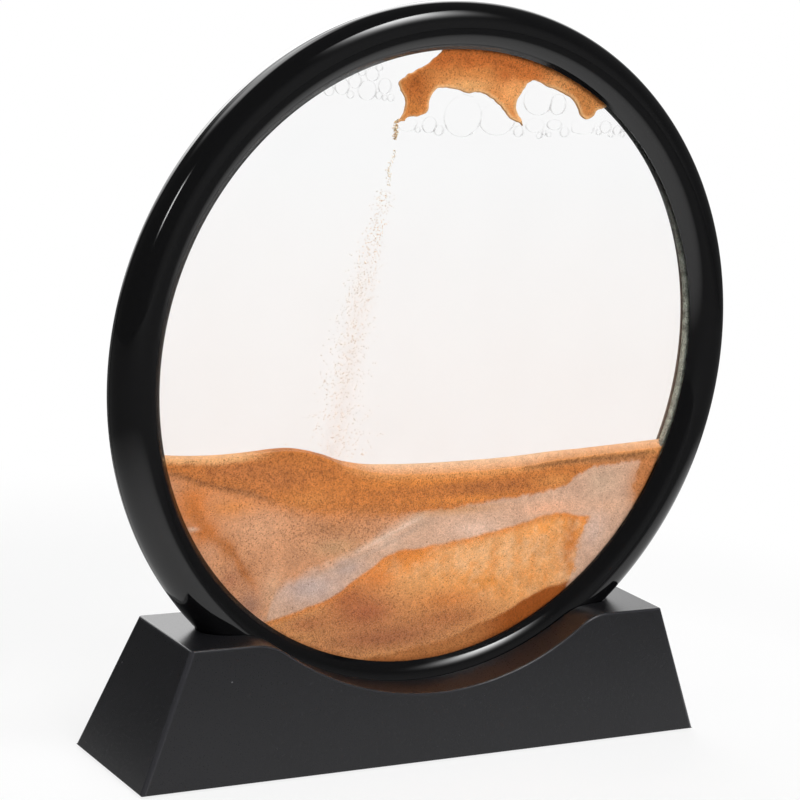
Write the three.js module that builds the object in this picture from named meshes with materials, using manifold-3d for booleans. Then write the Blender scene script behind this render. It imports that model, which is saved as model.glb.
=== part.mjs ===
// A moving sand picture: a round black frame that holds two glass panes with water and coloured
// sand between them, and stands in the saddle of a tapered base.
// Millimetres, +Z up, +X to the right, the front towards -Y, the origin under the base's middle.
import * as THREE from 'three';
import { mergeVertices } from 'three/addons/utils/BufferGeometryUtils.js';
import Module from 'manifold-3d';

const wasm = await Module();
wasm.setup();

// Round frame: two half rings that meet on the middle plane
const WINDOW_RADIUS = 78.1;
const FRAME_FACE_WIDTH = 11.9;
const FRAME_THICKNESS = 12;
const CREST_TO_RIM = 6;
const LIP_EDGE = 0.3;
const TONGUE_WALL = 1.9;
const TONGUE_WIDTH = 1.4;
const TONGUE_LENGTH = 1.6;
const TONGUE_CLEARANCE = 0.15;

// Glass cell
const GLASS_OVERLAP = 3.9;
const GLASS_THICKNESS = 1.3;
const GLASS_CLEARANCE = 0.3;
const CELL_DEPTH = 2.2;
const SPACER_INSET = 0.1;
const SPACER_WIDTH = 3.4;
const PORT_RADIUS = 0.7;
const PLUG_CLEARANCE = 0.1;
const PLUG_INSET = 0.2;

// Water and sand
const CONTENT_CLEARANCE = 0.3;
const CONTENT_FACE_GAP = 0.15;
const LAYER_GAP = 0.2;
const WATER_SURFACE_DEPTH = 20;

// Base
const BASE_LENGTH_BOTTOM = 165.6;
const BASE_LENGTH_TOP = 140.6;
const BASE_DEPTH_BOTTOM = 37.5;
const BASE_DEPTH_TOP = 29.2;
const BASE_HEIGHT = 34.2;
const BASE_WALL = 2.2;
const SLOT_FLOOR_HEIGHT = 9.8;
const SLOT_CLEARANCE = 0.4;
const SCOOP_RADIUS = 79.2;
const SCOOP_FLOOR_HEIGHT = 18;
const SHOULDER_ROUNDING = 16;

// Bottom cover, its screws and the feet
const FOOT_STANDOFF = 0.6;
const COVER_THICKNESS = 2.4;
const COVER_CLEARANCE = 0.3;
const SEAT_CLEARANCE = 0.05;
const POST_RADIUS = 3.2;
const SCREW_RADIUS = 1.15;
const SCREW_LENGTH = 8;
const SCREW_HEAD_RADIUS = 2.4;
const SCREW_HEAD_HEIGHT = 1.2;
const SCREW_HEAD_RECESS = 0.1;
const SCREW_CLEARANCE = 0.2;
const SCREW_FROM_END = 12;
const SCREW_FROM_SIDE = 5.5;
const FOOT_RADIUS = 5;
const FOOT_THICKNESS = 1.4;
const FOOT_CLEARANCE = 0.2;
const FOOT_FROM_SCREW = 14;
const FOOT_FROM_SIDE = 5.7;

// Facets of round pieces
const RING_FACETS = 72;
const SLOT_FACETS = 96;
const SMALL_FACETS = 24;
const BEAD_FACETS = 6;
const CURVE_FACETS = 60;
const ARC_FACETS = 24;

// Sizes that follow from the ones above
const frameRadius = WINDOW_RADIUS + FRAME_FACE_WIDTH;
const frameHalf = FRAME_THICKNESS / 2;
const frameCentreHeight = SLOT_FLOOR_HEIGHT + SLOT_CLEARANCE + frameRadius;
const cellHalf = CELL_DEPTH / 2;
const glassFace = cellHalf + GLASS_THICKNESS;
const lipFace = glassFace + LIP_EDGE;
const glassRadius = WINDOW_RADIUS + GLASS_OVERLAP;
const glassSeatRadius = glassRadius + GLASS_CLEARANCE;
const spacerInnerRadius = WINDOW_RADIUS - SPACER_INSET;
const spacerOuterRadius = spacerInnerRadius + SPACER_WIDTH;
const contentRadius = spacerInnerRadius - CONTENT_CLEARANCE;
const contentHalf = cellHalf - CONTENT_FACE_GAP;
const slotRadius = frameRadius + SLOT_CLEARANCE;
const slotHalf = frameHalf + SLOT_CLEARANCE;
const scoopCentreHeight = SCOOP_FLOOR_HEIGHT + SCOOP_RADIUS;
const coverTop = FOOT_STANDOFF + COVER_THICKNESS;
const baseRise = BASE_HEIGHT - FOOT_STANDOFF;
const lengthTaper = (BASE_LENGTH_BOTTOM - BASE_LENGTH_TOP) / 2 / baseRise;
const depthTaper = (BASE_DEPTH_BOTTOM - BASE_DEPTH_TOP) / 2 / baseRise;
const coverInset = BASE_WALL + COVER_CLEARANCE;
const coverHalfLength = BASE_LENGTH_BOTTOM / 2 - lengthTaper * COVER_THICKNESS - coverInset;
const coverHalfDepth = BASE_DEPTH_BOTTOM / 2 - depthTaper * COVER_THICKNESS - coverInset;
const screwX = coverHalfLength - SCREW_FROM_END;
const screwY = coverHalfDepth - SCREW_FROM_SIDE;
const footX = screwX - FOOT_FROM_SCREW;
const footY = coverHalfDepth - FOOT_FROM_SIDE;
const screwHeadSeat = FOOT_STANDOFF + SCREW_HEAD_RECESS + SCREW_HEAD_HEIGHT;
const screwTip = screwHeadSeat + SCREW_LENGTH;

// A closed geometry as a solid that can be joined and cut
function solidOf(geometry) {
  geometry.deleteAttribute('normal');
  geometry.deleteAttribute('uv');
  const merged = mergeVertices(geometry);
  const vertProperties = Float32Array.from(merged.attributes.position.array);
  const triVerts = Uint32Array.from(merged.index.array);
  return new wasm.Manifold(new wasm.Mesh({ numProp: 3, vertProperties, triVerts }));
}

// A solid back as a geometry
function geometryOf(solid) {
  const mesh = solid.getMesh();
  const geometry = new THREE.BufferGeometry();
  geometry.setAttribute('position', new THREE.BufferAttribute(mesh.vertProperties, mesh.numProp));
  geometry.setIndex(new THREE.BufferAttribute(mesh.triVerts, 1));
  geometry.computeVertexNormals();
  return geometry;
}

// An outline drawn in X and Z, given a thickness from one Y to another
function frontExtrusion(shape, nearY, farY) {
  const geometry = new THREE.ExtrudeGeometry(shape, {
    depth: farY - nearY,
    bevelEnabled: false,
    curveSegments: ARC_FACETS,
  });
  geometry.rotateX(Math.PI / 2);
  geometry.translate(0, farY, 0);
  return solidOf(geometry);
}

// An outline drawn in Y and Z, given a length about the middle along X
function sideExtrusion(shape, length) {
  const geometry = new THREE.ExtrudeGeometry(shape, { depth: length, bevelEnabled: false });
  geometry.rotateX(Math.PI / 2);
  geometry.rotateZ(Math.PI / 2);
  geometry.translate(-length / 2, 0, 0);
  return solidOf(geometry);
}

// A round disc about the Y axis, from one Y to another, raised to a centre height
function disc(radius, nearY, farY, facets, centreHeight) {
  const geometry = new THREE.CylinderGeometry(radius, radius, farY - nearY, facets);
  geometry.translate(0, (nearY + farY) / 2, centreHeight);
  return solidOf(geometry);
}

// An upright rod from one height to another
function rod(radius, x, y, lowZ, highZ) {
  const geometry = new THREE.CylinderGeometry(radius, radius, highZ - lowZ, SMALL_FACETS);
  geometry.rotateX(Math.PI / 2);
  geometry.translate(x, y, (lowZ + highZ) / 2);
  return solidOf(geometry);
}

// A ring about the frame's axis, turned from a closed outline of radius and Y
function turnedRing(outline) {
  const points = outline.map(([radius, y]) => new THREE.Vector2(radius, y));
  points.push(points[0].clone());
  const geometry = new THREE.LatheGeometry(points, RING_FACETS);
  geometry.translate(0, 0, frameCentreHeight);
  return solidOf(geometry);
}

const model = new THREE.Group();

// Adds one piece with its own material
function addPiece(name, solid, color, roughness, look = {}) {
  const material = new THREE.MeshStandardMaterial({ color, roughness, metalness: 0, ...look });
  const mesh = new THREE.Mesh(geometryOf(solid), material);
  mesh.name = name;
  model.add(mesh);
}

const sides = [-1, 1];
const corners = sides.flatMap((sideX) => sides.map((sideY) => ({
  sideX,
  sideY,
  place: `${sideY < 0 ? 'front' : 'rear'}_${sideX < 0 ? 'left' : 'right'}`,
})));

// Base shell: a tapered block with a round scoop from front to back, hollow from below

// A tapered outline about the middle, drawn in by an inset
function taperedOutline(bottom, taper, inset, lowZ, highZ) {
  const halfAt = (z) => bottom / 2 - taper * (z - FOOT_STANDOFF) - inset;
  const shape = new THREE.Shape();
  shape.moveTo(-halfAt(lowZ), lowZ);
  shape.lineTo(halfAt(lowZ), lowZ);
  shape.lineTo(halfAt(highZ), highZ);
  shape.lineTo(-halfAt(highZ), highZ);
  shape.closePath();
  return shape;
}

function taperedBlock(inset, lowZ, highZ) {
  const frontOutline = taperedOutline(BASE_LENGTH_BOTTOM, lengthTaper, inset, lowZ, highZ);
  const endOutline = taperedOutline(BASE_DEPTH_BOTTOM, depthTaper, inset, lowZ, highZ);
  const long = frontExtrusion(frontOutline, -BASE_DEPTH_BOTTOM, BASE_DEPTH_BOTTOM);
  return long.intersect(sideExtrusion(endOutline, 2 * BASE_LENGTH_BOTTOM));
}

// What the scoop takes away: a round floor that runs out over two rounded shoulders
function scoopOutline() {
  const shoulderCentreHeight = BASE_HEIGHT - SHOULDER_ROUNDING;
  const drop = scoopCentreHeight - shoulderCentreHeight;
  const reach = SCOOP_RADIUS + SHOULDER_ROUNDING;
  const shoulderX = Math.sqrt(reach * reach - drop * drop);
  const meet = Math.atan2(drop, shoulderX);
  const above = scoopCentreHeight;
  const shape = new THREE.Shape();
  shape.moveTo(shoulderX, above);
  shape.lineTo(-shoulderX, above);
  shape.lineTo(-shoulderX, BASE_HEIGHT);
  shape.absarc(-shoulderX, shoulderCentreHeight, SHOULDER_ROUNDING, Math.PI / 2, meet, true);
  shape.absarc(0, scoopCentreHeight, SCOOP_RADIUS, Math.PI + meet, 2 * Math.PI - meet, false);
  shape.absarc(shoulderX, shoulderCentreHeight, SHOULDER_ROUNDING, Math.PI - meet, Math.PI / 2, true);
  shape.closePath();
  return shape;
}

function baseShell() {
  const block = taperedBlock(0, FOOT_STANDOFF, BASE_HEIGHT);
  const slotWall = disc(
    slotRadius + BASE_WALL,
    -slotHalf - BASE_WALL,
    slotHalf + BASE_WALL,
    SLOT_FACETS,
    frameCentreHeight,
  );
  const scoopWall = disc(
    SCOOP_RADIUS + BASE_WALL,
    -BASE_DEPTH_BOTTOM,
    BASE_DEPTH_BOTTOM,
    SLOT_FACETS,
    scoopCentreHeight,
  );
  const hollow = taperedBlock(BASE_WALL, 0, BASE_HEIGHT - BASE_WALL).subtract(slotWall).subtract(scoopWall);
  let shell = block.subtract(hollow);
  for (const { sideX, sideY } of corners) {
    const post = rod(POST_RADIUS, sideX * screwX, sideY * screwY, coverTop + SEAT_CLEARANCE, BASE_HEIGHT);
    shell = shell.add(post.intersect(block));
  }
  for (const { sideX, sideY } of corners) {
    const hole = rod(
      SCREW_RADIUS + SCREW_CLEARANCE,
      sideX * screwX,
      sideY * screwY,
      FOOT_STANDOFF,
      screwTip + SCREW_CLEARANCE,
    );
    shell = shell.subtract(hole);
  }
  const slot = disc(slotRadius, -slotHalf, slotHalf, SLOT_FACETS, frameCentreHeight);
  const scoop = frontExtrusion(scoopOutline(), -BASE_DEPTH_BOTTOM, BASE_DEPTH_BOTTOM);
  return shell.subtract(slot).subtract(scoop);
}

addPiece('base_shell', baseShell(), 0x2b2b2d, 0.5);

// Bottom cover: a plate inside the shell's rim, with recesses for the screw heads and the feet
function bottomCover() {
  const plate = new THREE.BoxGeometry(2 * coverHalfLength, 2 * coverHalfDepth, COVER_THICKNESS);
  plate.translate(0, 0, FOOT_STANDOFF + COVER_THICKNESS / 2);
  let cover = solidOf(plate);
  for (const { sideX, sideY } of corners) {
    const x = sideX * screwX;
    const y = sideY * screwY;
    const headRecess = rod(SCREW_HEAD_RADIUS + SCREW_CLEARANCE, x, y, 0, screwHeadSeat);
    const shankHole = rod(SCREW_RADIUS + SCREW_CLEARANCE, x, y, 0, BASE_HEIGHT);
    const footRecess = rod(FOOT_RADIUS + FOOT_CLEARANCE, sideX * footX, sideY * footY, 0, FOOT_THICKNESS);
    cover = cover.subtract(headRecess).subtract(shankHole).subtract(footRecess);
  }
  return cover;
}

addPiece('base_bottom_cover', bottomCover(), 0x222224, 0.6);

for (const { sideX, sideY, place } of corners) {
  const x = sideX * screwX;
  const y = sideY * screwY;
  const head = rod(SCREW_HEAD_RADIUS, x, y, screwHeadSeat - SCREW_HEAD_HEIGHT, screwHeadSeat);
  const shank = rod(SCREW_RADIUS, x, y, screwHeadSeat - SCREW_HEAD_HEIGHT / 2, screwTip);
  addPiece(`base_screw_${place}`, head.add(shank), 0x8d8f92, 0.35, { metalness: 1 });
}

for (const { sideX, sideY, place } of corners) {
  const foot = rod(FOOT_RADIUS, sideX * footX, sideY * footY, 0, FOOT_THICKNESS);
  addPiece(`rubber_foot_${place}`, foot, 0x1c1c1c, 0.9);
}

// Frame: the front half ring's outline, from the seam round the bead to the lip and round the glass seat
function bezelOutline() {
  const crestRadius = frameRadius - CREST_TO_RIM;
  const outline = [];
  for (let step = 0; step <= BEAD_FACETS; step += 1) {
    const turn = Math.PI / 2 * step / BEAD_FACETS;
    outline.push([crestRadius + CREST_TO_RIM * Math.cos(turn), -frameHalf * Math.sin(turn)]);
  }
  // An arc that leaves the crest level and comes down to the lip
  const run = crestRadius - WINDOW_RADIUS;
  const drop = frameHalf - lipFace;
  const innerRadius = (run * run + drop * drop) / (2 * drop);
  const innerTurn = 2 * Math.atan2(drop, run);
  for (let step = 1; step <= BEAD_FACETS; step += 1) {
    const turn = innerTurn * step / BEAD_FACETS;
    const radius = crestRadius - innerRadius * Math.sin(turn);
    outline.push([radius, -frameHalf + innerRadius * (1 - Math.cos(turn))]);
  }
  outline.push([WINDOW_RADIUS, -glassFace]);
  outline.push([glassSeatRadius, -glassFace]);
  outline.push([glassSeatRadius, 0]);
  return outline;
}

// The rear half carries a tongue that enters a groove in the front half
const tongueInner = glassSeatRadius + TONGUE_WALL;
const tongueOuter = tongueInner + TONGUE_WIDTH;

function frontBezel() {
  const outline = bezelOutline();
  const grooveInner = tongueInner - TONGUE_CLEARANCE;
  const grooveOuter = tongueOuter + TONGUE_CLEARANCE;
  const grooveFloor = -TONGUE_LENGTH - TONGUE_CLEARANCE;
  outline.push([grooveInner, 0]);
  outline.push([grooveInner, grooveFloor]);
  outline.push([grooveOuter, grooveFloor]);
  outline.push([grooveOuter, 0]);
  return turnedRing(outline.reverse());
}

function rearBezel() {
  const outline = bezelOutline().map(([radius, y]) => [radius, -y]);
  outline.push([tongueInner, 0]);
  outline.push([tongueInner, -TONGUE_LENGTH]);
  outline.push([tongueOuter, -TONGUE_LENGTH]);
  outline.push([tongueOuter, 0]);
  return turnedRing(outline);
}

addPiece('front_bezel', frontBezel(), 0x1b1b1d, 0.2);
addPiece('rear_bezel', rearBezel(), 0x1b1b1d, 0.2);

// Glass panes and the sealing spacer between them, with its filling port and plug
const paneLook = { transparent: true, opacity: 0.2 };
const frontPane = disc(glassRadius, -glassFace, -cellHalf, RING_FACETS, frameCentreHeight);
const rearPane = disc(glassRadius, cellHalf, glassFace, RING_FACETS, frameCentreHeight);
addPiece('front_glass', frontPane, 0xf4f6f5, 0.05, paneLook);
addPiece('rear_glass', rearPane, 0xf4f6f5, 0.05, paneLook);

const spacer = turnedRing([
  [spacerInnerRadius, -cellHalf],
  [spacerOuterRadius, -cellHalf],
  [spacerOuterRadius, cellHalf],
  [spacerInnerRadius, cellHalf],
]);
const port = rod(PORT_RADIUS, 0, 0, frameCentreHeight, frameCentreHeight + glassRadius);
addPiece('cell_spacer', spacer.subtract(port), 0x4a4a44, 0.6);

const plug = rod(
  PORT_RADIUS - PLUG_CLEARANCE,
  0,
  0,
  frameCentreHeight + spacerInnerRadius + PLUG_INSET,
  frameCentreHeight + spacerOuterRadius - PLUG_INSET,
);
addPiece('filling_plug', plug, 0x5a5a55, 0.7);

// Sand: each layer's top edge as X and height above the cell's lowest point, from left to right
const DUNE_TOP = [
  [-46, 8], [-42, 13.6], [-26, 18], [-8, 28.6], [10, 30.4], [42, 36.3], [50, 35], [53, 28], [54, 14],
];
const PALE_TOP = [
  [-46, 8], [-43.5, 14], [-40, 22], [-25, 26.4], [-12, 33.4], [-4, 38.6], [25, 41.4], [43, 43], [50, 47.8],
  [60, 49.2],
];
const BLUSH_TOP = [
  [-73, 51], [-58, 48], [-42, 44], [-28, 39.5], [-18, 38.6], [-10, 38.4], [-4, 34],
];
const BED_TOP = [
  [-73, 57], [-62, 56.4], [-40, 57.5], [-22, 52.5], [0, 51.6], [18, 51.6], [45, 53.5], [70, 55.4],
];
// Sand that still hangs from the cell's crown: its lower edge as X and depth below the crown
const CLUMP_EDGE = [
  [-8, -1.5], [-12, 2.4], [-19, 7.2], [-20, 8.9], [-17.8, 13.2], [-18.4, 17.6], [-11.4, 15.4], [-9.2, 10.1],
  [-6, 9.3], [4, 10], [11, 13.2], [17.4, 17], [15.2, 13.2], [18, 7.2], [21, 6.3], [28, 8.5], [33.5, 11.2],
  [36.8, 15.2], [40, 13.1], [46, 10],
];

const cellFloor = frameCentreHeight - contentRadius;
const cellCrown = frameCentreHeight + contentRadius;

// A layer's edge as a smooth line; a lift keeps two layers apart
function layerLine(edge, lift = 0) {
  const points = edge.map(([x, height]) => new THREE.Vector2(x, cellFloor + height + lift));
  return new THREE.SplineCurve(points).getPoints(CURVE_FACETS);
}

// The same line run on level to both walls of the cell
function acrossCell(line) {
  const first = line[0];
  const last = line[line.length - 1];
  const left = new THREE.Vector2(Math.min(first.x, 0) - contentRadius, first.y);
  const right = new THREE.Vector2(Math.max(last.x, 0) + contentRadius, last.y);
  return [left, ...line, right];
}

const cellDisc = disc(contentRadius, -contentHalf, contentHalf, RING_FACETS, frameCentreHeight);

// What lies between two lines, deeper than the cell
function massBetween(lower, upper) {
  const shape = new THREE.Shape([...lower, ...upper.slice().reverse()]);
  return frontExtrusion(shape, -cellHalf, cellHalf);
}

// A level line past both walls of the cell
function levelLine(height) {
  return [new THREE.Vector2(-2 * contentRadius, height), new THREE.Vector2(2 * contentRadius, height)];
}

const belowCell = levelLine(cellFloor - contentRadius);

// What fills the cell under one line and above the lines of the layers below it
function cellLayer(line, linesBelow) {
  let layer = cellDisc.intersect(massBetween(belowCell, line));
  for (const lineBelow of linesBelow) {
    layer = layer.subtract(massBetween(belowCell, lineBelow));
  }
  return layer;
}

const duneLine = acrossCell(layerLine(DUNE_TOP));
const duneLineLifted = acrossCell(layerLine(DUNE_TOP, LAYER_GAP));
const paleLine = acrossCell(layerLine(PALE_TOP));
const paleLineLifted = acrossCell(layerLine(PALE_TOP, LAYER_GAP));
const blushLine = acrossCell(layerLine(BLUSH_TOP));
const blushLineLifted = acrossCell(layerLine(BLUSH_TOP, LAYER_GAP));
const bedLine = acrossCell(layerLine(BED_TOP));
const bedLineLifted = acrossCell(layerLine(BED_TOP, LAYER_GAP));
const waterLine = levelLine(cellCrown - WATER_SURFACE_DEPTH);

const speckledSand = cellLayer(bedLine, [duneLineLifted, paleLineLifted, blushLineLifted]);
addPiece('sand_dune', cellLayer(duneLine, []), 0xd08c4a, 0.95);
addPiece('sand_pale', cellLayer(paleLine, [duneLineLifted]), 0xc9b3a3, 0.95);
addPiece('sand_blush', cellLayer(blushLine, [duneLineLifted, paleLineLifted]), 0xcf9a70, 0.95);
addPiece('sand_speckled', speckledSand, 0xb9743e, 0.95);

const clumpLine = layerLine(CLUMP_EDGE.map(([x, depth]) => [x, 2 * contentRadius - depth]));
const aboveClump = [
  new THREE.Vector2(clumpLine[0].x, cellCrown + contentRadius),
  new THREE.Vector2(clumpLine[clumpLine.length - 1].x, cellCrown + contentRadius),
];
addPiece('sand_clump', cellDisc.intersect(massBetween(clumpLine, aboveClump)), 0xc8763a, 0.95);

addPiece('water_fill', cellLayer(waterLine, [bedLineLifted]), 0xf6f4f0, 0.05, {
  transparent: true,
  opacity: 0.1,
});

export default model;
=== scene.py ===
# A moving sand picture: a round glass cell of water and coloured sand, clamped in a gloss black
# ring that stands in a scooped black base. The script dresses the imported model, in metres.
import math
import random

import bmesh
import bpy
import numpy as np
from mathutils import Matrix, Vector


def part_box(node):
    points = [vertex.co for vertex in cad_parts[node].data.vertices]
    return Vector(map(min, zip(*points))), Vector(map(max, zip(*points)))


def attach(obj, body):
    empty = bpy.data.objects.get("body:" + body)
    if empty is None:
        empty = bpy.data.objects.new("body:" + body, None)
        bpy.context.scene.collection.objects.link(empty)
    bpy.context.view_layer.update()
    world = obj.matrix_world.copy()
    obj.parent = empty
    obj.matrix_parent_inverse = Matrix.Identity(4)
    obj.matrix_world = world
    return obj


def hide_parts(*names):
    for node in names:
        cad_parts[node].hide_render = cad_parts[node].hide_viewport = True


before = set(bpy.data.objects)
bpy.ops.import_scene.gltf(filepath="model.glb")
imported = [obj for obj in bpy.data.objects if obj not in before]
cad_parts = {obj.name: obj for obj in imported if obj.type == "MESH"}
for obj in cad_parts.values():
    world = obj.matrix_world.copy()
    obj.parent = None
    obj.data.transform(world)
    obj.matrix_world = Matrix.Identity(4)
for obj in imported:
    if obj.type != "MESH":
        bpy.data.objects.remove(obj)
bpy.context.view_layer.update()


# Base moulding: the tapered foot, with a round scoop across its top and a slot that grips the ring.
# Black ABS, injection moulded in one piece in a spark-eroded mould, and open underneath, where
# the cover is let in.
MM = 0.001
BASE_TOP_LENGTH = 140.6 * MM
BASE_TOP_DEPTH = 29.2 * MM
SCOOP_RADIUS = 79.2 * MM
SCOOP_FLOOR = 18 * MM
SHOULDER_ROUNDING = 16 * MM
CORNER_ROUNDING = 1 * MM
TOP_EDGE_SHARE = 0.5
BOTTOM_EDGE_SHARE = 0.15
EDGE_ANGLE = math.radians(20)
SHOULDER_STEPS, SCOOP_STEPS, SLOT_STEPS = 14, 96, 24
SLOT_CLEARANCE = 0.3 * MM
SLOT_CORE = 40 * MM
CREST_TO_RIM = 6 * MM
COVER_CLEARANCE = 0.3 * MM
RECESS_HEIGHT = 7.4 * MM
MERGE_GAP = 0.002 * MM

base_low, base_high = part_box("base_shell")
ring_low, ring_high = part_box("front_bezel")
ring_radius = (ring_high.z - ring_low.z) / 2
ring_half = -ring_low.y
ring_centre = Vector((0, 0, (ring_low.z + ring_high.z) / 2))


def arc(centre_x, centre_z, radius, start, end, steps):
    """Points (x, z) along an arc, from one angle to another in degrees."""
    turns = np.radians(np.linspace(start, end, steps + 1))
    return [(centre_x + radius * math.cos(t), centre_z + radius * math.sin(t)) for t in turns]


def outlined(name, outline, fill):
    """A circle primitive whose corners are moved onto the places of an outline."""
    bpy.ops.object.select_all(action="DESELECT")
    bpy.ops.mesh.primitive_circle_add(vertices=len(outline), radius=MM, fill_type=fill)
    piece = bpy.context.object
    piece.name = name
    for vertex, place in zip(piece.data.vertices, outline):
        vertex.co = place
    return piece


def choose(piece, kind, wanted):
    """In edit mode, select the verts, edges or faces that pass a test, and nothing else."""
    bpy.ops.mesh.select_mode(type=kind)
    bpy.ops.mesh.select_all(action="DESELECT")
    shape = bmesh.from_edit_mesh(piece.data)
    parts = {"VERT": shape.verts, "EDGE": shape.edges, "FACE": shape.faces}[kind]
    for part in parts:
        if wanted(part):
            part.select_set(True)
    bmesh.update_edit_mesh(piece.data)


def apply_modifier(piece, kind, **settings):
    """Add a modifier with its settings and apply it."""
    bpy.ops.object.select_all(action="DESELECT")
    piece.select_set(True)
    bpy.context.view_layer.objects.active = piece
    modifier = piece.modifiers.new(kind, kind)
    for name, value in settings.items():
        setattr(modifier, name, value)
    bpy.ops.object.modifier_apply(modifier=modifier.name)


def cut_away(piece, cutter):
    """Take the cutter's shape out of a piece, and remove the cutter."""
    apply_modifier(piece, "BOOLEAN", object=cutter, operation="DIFFERENCE", solver="EXACT")
    bpy.data.meshes.remove(cutter.data)


def close_and_smooth(piece, angle):
    """Merge doubles, turn the faces outwards and smooth every edge flatter than the angle."""
    bpy.ops.object.select_all(action="DESELECT")
    piece.select_set(True)
    bpy.context.view_layer.objects.active = piece
    bpy.ops.object.mode_set(mode="EDIT")
    bpy.ops.mesh.select_all(action="SELECT")
    bpy.ops.mesh.remove_doubles(threshold=MERGE_GAP)
    bpy.ops.mesh.normals_make_consistent(inside=False)
    bpy.ops.object.mode_set(mode="OBJECT")
    bpy.ops.object.shade_smooth_by_angle(angle=math.radians(angle))


def spun(name, outline, steps):
    """A closed outline of (radius, y), spun round the ring's axis."""
    piece = outlined(name, [(radius, y, ring_centre.z) for radius, y in outline], "NOTHING")
    bpy.ops.object.mode_set(mode="EDIT")
    bpy.ops.mesh.select_all(action="SELECT")
    bpy.ops.mesh.spin(steps=steps, angle=2 * math.pi, center=ring_centre, axis=(0, 1, 0))
    bpy.ops.object.mode_set(mode="OBJECT")
    close_and_smooth(piece, angle=25)
    return piece


crest_radius = ring_radius - CREST_TO_RIM
scoop_z = SCOOP_FLOOR + SCOOP_RADIUS
shoulder_z = base_high.z - SHOULDER_ROUNDING
shoulder_x = math.sqrt((SCOOP_RADIUS + SHOULDER_ROUNDING) ** 2 - (scoop_z - shoulder_z) ** 2)
meet = math.degrees(math.atan2(scoop_z - shoulder_z, shoulder_x))
base_outline = [(-base_high.x, base_low.z), (base_high.x, base_low.z), (BASE_TOP_LENGTH / 2, base_high.z)]
base_outline += arc(shoulder_x, shoulder_z, SHOULDER_ROUNDING, 90, 180 - meet, SHOULDER_STEPS)
base_outline += arc(0, scoop_z, SCOOP_RADIUS, -meet, meet - 180, SCOOP_STEPS)[1:]
base_outline += arc(-shoulder_x, shoulder_z, SHOULDER_ROUNDING, meet, 90, SHOULDER_STEPS)[1:]
base_outline += [(-BASE_TOP_LENGTH / 2, base_high.z)]
base = outlined("base_moulding", [(x, 0, z) for x, z in base_outline], "NGON")
bpy.ops.object.mode_set(mode="EDIT")
bpy.ops.mesh.select_all(action="SELECT")
bpy.ops.mesh.extrude_region_move(TRANSFORM_OT_translate={"value": (0, base_high.y, 0)})
bpy.ops.object.mode_set(mode="OBJECT")
for vertex in base.data.vertices:
    rise = (vertex.co.z - base_low.z) / (base_high.z - base_low.z)
    half_depth = base_high.y + (BASE_TOP_DEPTH / 2 - base_high.y) * rise
    vertex.co.y = half_depth if vertex.co.y > base_high.y / 2 else -half_depth
close_and_smooth(base, angle=30)
shape = bmesh.new()
shape.from_mesh(base.data)
roundings = shape.edges.layers.float.new("bevel_weight_edge")
for edge in shape.edges:
    if edge.calc_face_angle(0) < EDGE_ANGLE:
        continue
    first, second = (vertex.co for vertex in edge.verts)
    middle = (first + second) / 2
    if max(first.z, second.z) < base_low.z + MM:
        edge[roundings] = BOTTOM_EDGE_SHARE
    elif abs(middle.x) < shoulder_x or min(first.z, second.z) > base_high.z - MM:
        edge[roundings] = TOP_EDGE_SHARE
    else:
        edge[roundings] = 1
shape.to_mesh(base.data)
shape.free()
apply_modifier(base, "BEVEL", limit_method="WEIGHT", width=CORNER_ROUNDING, segments=5)
slot_half = CREST_TO_RIM + SLOT_CLEARANCE
slot_section = arc(crest_radius, 0, slot_half, -90, 90, SLOT_STEPS)
cut_away(base, spun("slot", [(SLOT_CORE, -slot_half), *slot_section, (SLOT_CORE, slot_half)], steps=240))
cover_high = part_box("base_bottom_cover")[1]
recess = Vector((cover_high.x + COVER_CLEARANCE, cover_high.y + COVER_CLEARANCE, RECESS_HEIGHT))
bpy.ops.mesh.primitive_cube_add(size=2, location=(0, 0, 0), scale=recess)
cut_away(base, bpy.context.object)
close_and_smooth(base, angle=30)
apply_modifier(base, "WEIGHTED_NORMAL", keep_sharp=True)


def linear(colour):
    """An sRGB hex colour as linear red, green, blue and alpha."""
    parts = [int(colour[i:i + 2], 16) / 255 for i in (1, 3, 5)]
    return tuple(p / 12.92 if p <= 0.04045 else ((p + 0.055) / 1.055) ** 2.4 for p in parts) + (1.0,)


def add_node(tree, kind, inputs, **settings):
    """Add a node with its settings, and set each of its inputs to a value or link it to a socket."""
    node = tree.nodes.new(kind)
    for name, value in settings.items():
        setattr(node, name, value)
    for socket, value in inputs.items():
        if isinstance(value, bpy.types.NodeSocket):
            tree.links.new(value, node.inputs[socket])
        else:
            node.inputs[socket].default_value = value
    return node


def bare_material(name):
    """A material with an empty node tree, and the socket of its Object coordinates."""
    material = bpy.data.materials.new(name)
    material.use_nodes = True
    tree = material.node_tree
    tree.nodes.clear()
    return material, tree, add_node(tree, "ShaderNodeTexCoord", {}).outputs["Object"]


def dress(piece, material):
    """Give a piece, or a CAD node, one material all over."""
    piece.data.materials.clear()
    piece.data.materials.append(material)


# The rounded edges are marked on the mesh, as narrow strips of faces, for the material to polish and
# to paint a lighter highlight on.
ROUNDING_STRIP = 0.6 * MM
strips = [face.area / max((base.data.vertices[a].co - base.data.vertices[b].co).length
                          for a, b in face.edge_keys) < ROUNDING_STRIP for face in base.data.polygons]
base.data.attributes.new("rounded_edge", "FLOAT", "FACE").data.foreach_set("value", np.array(strips, float))
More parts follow.
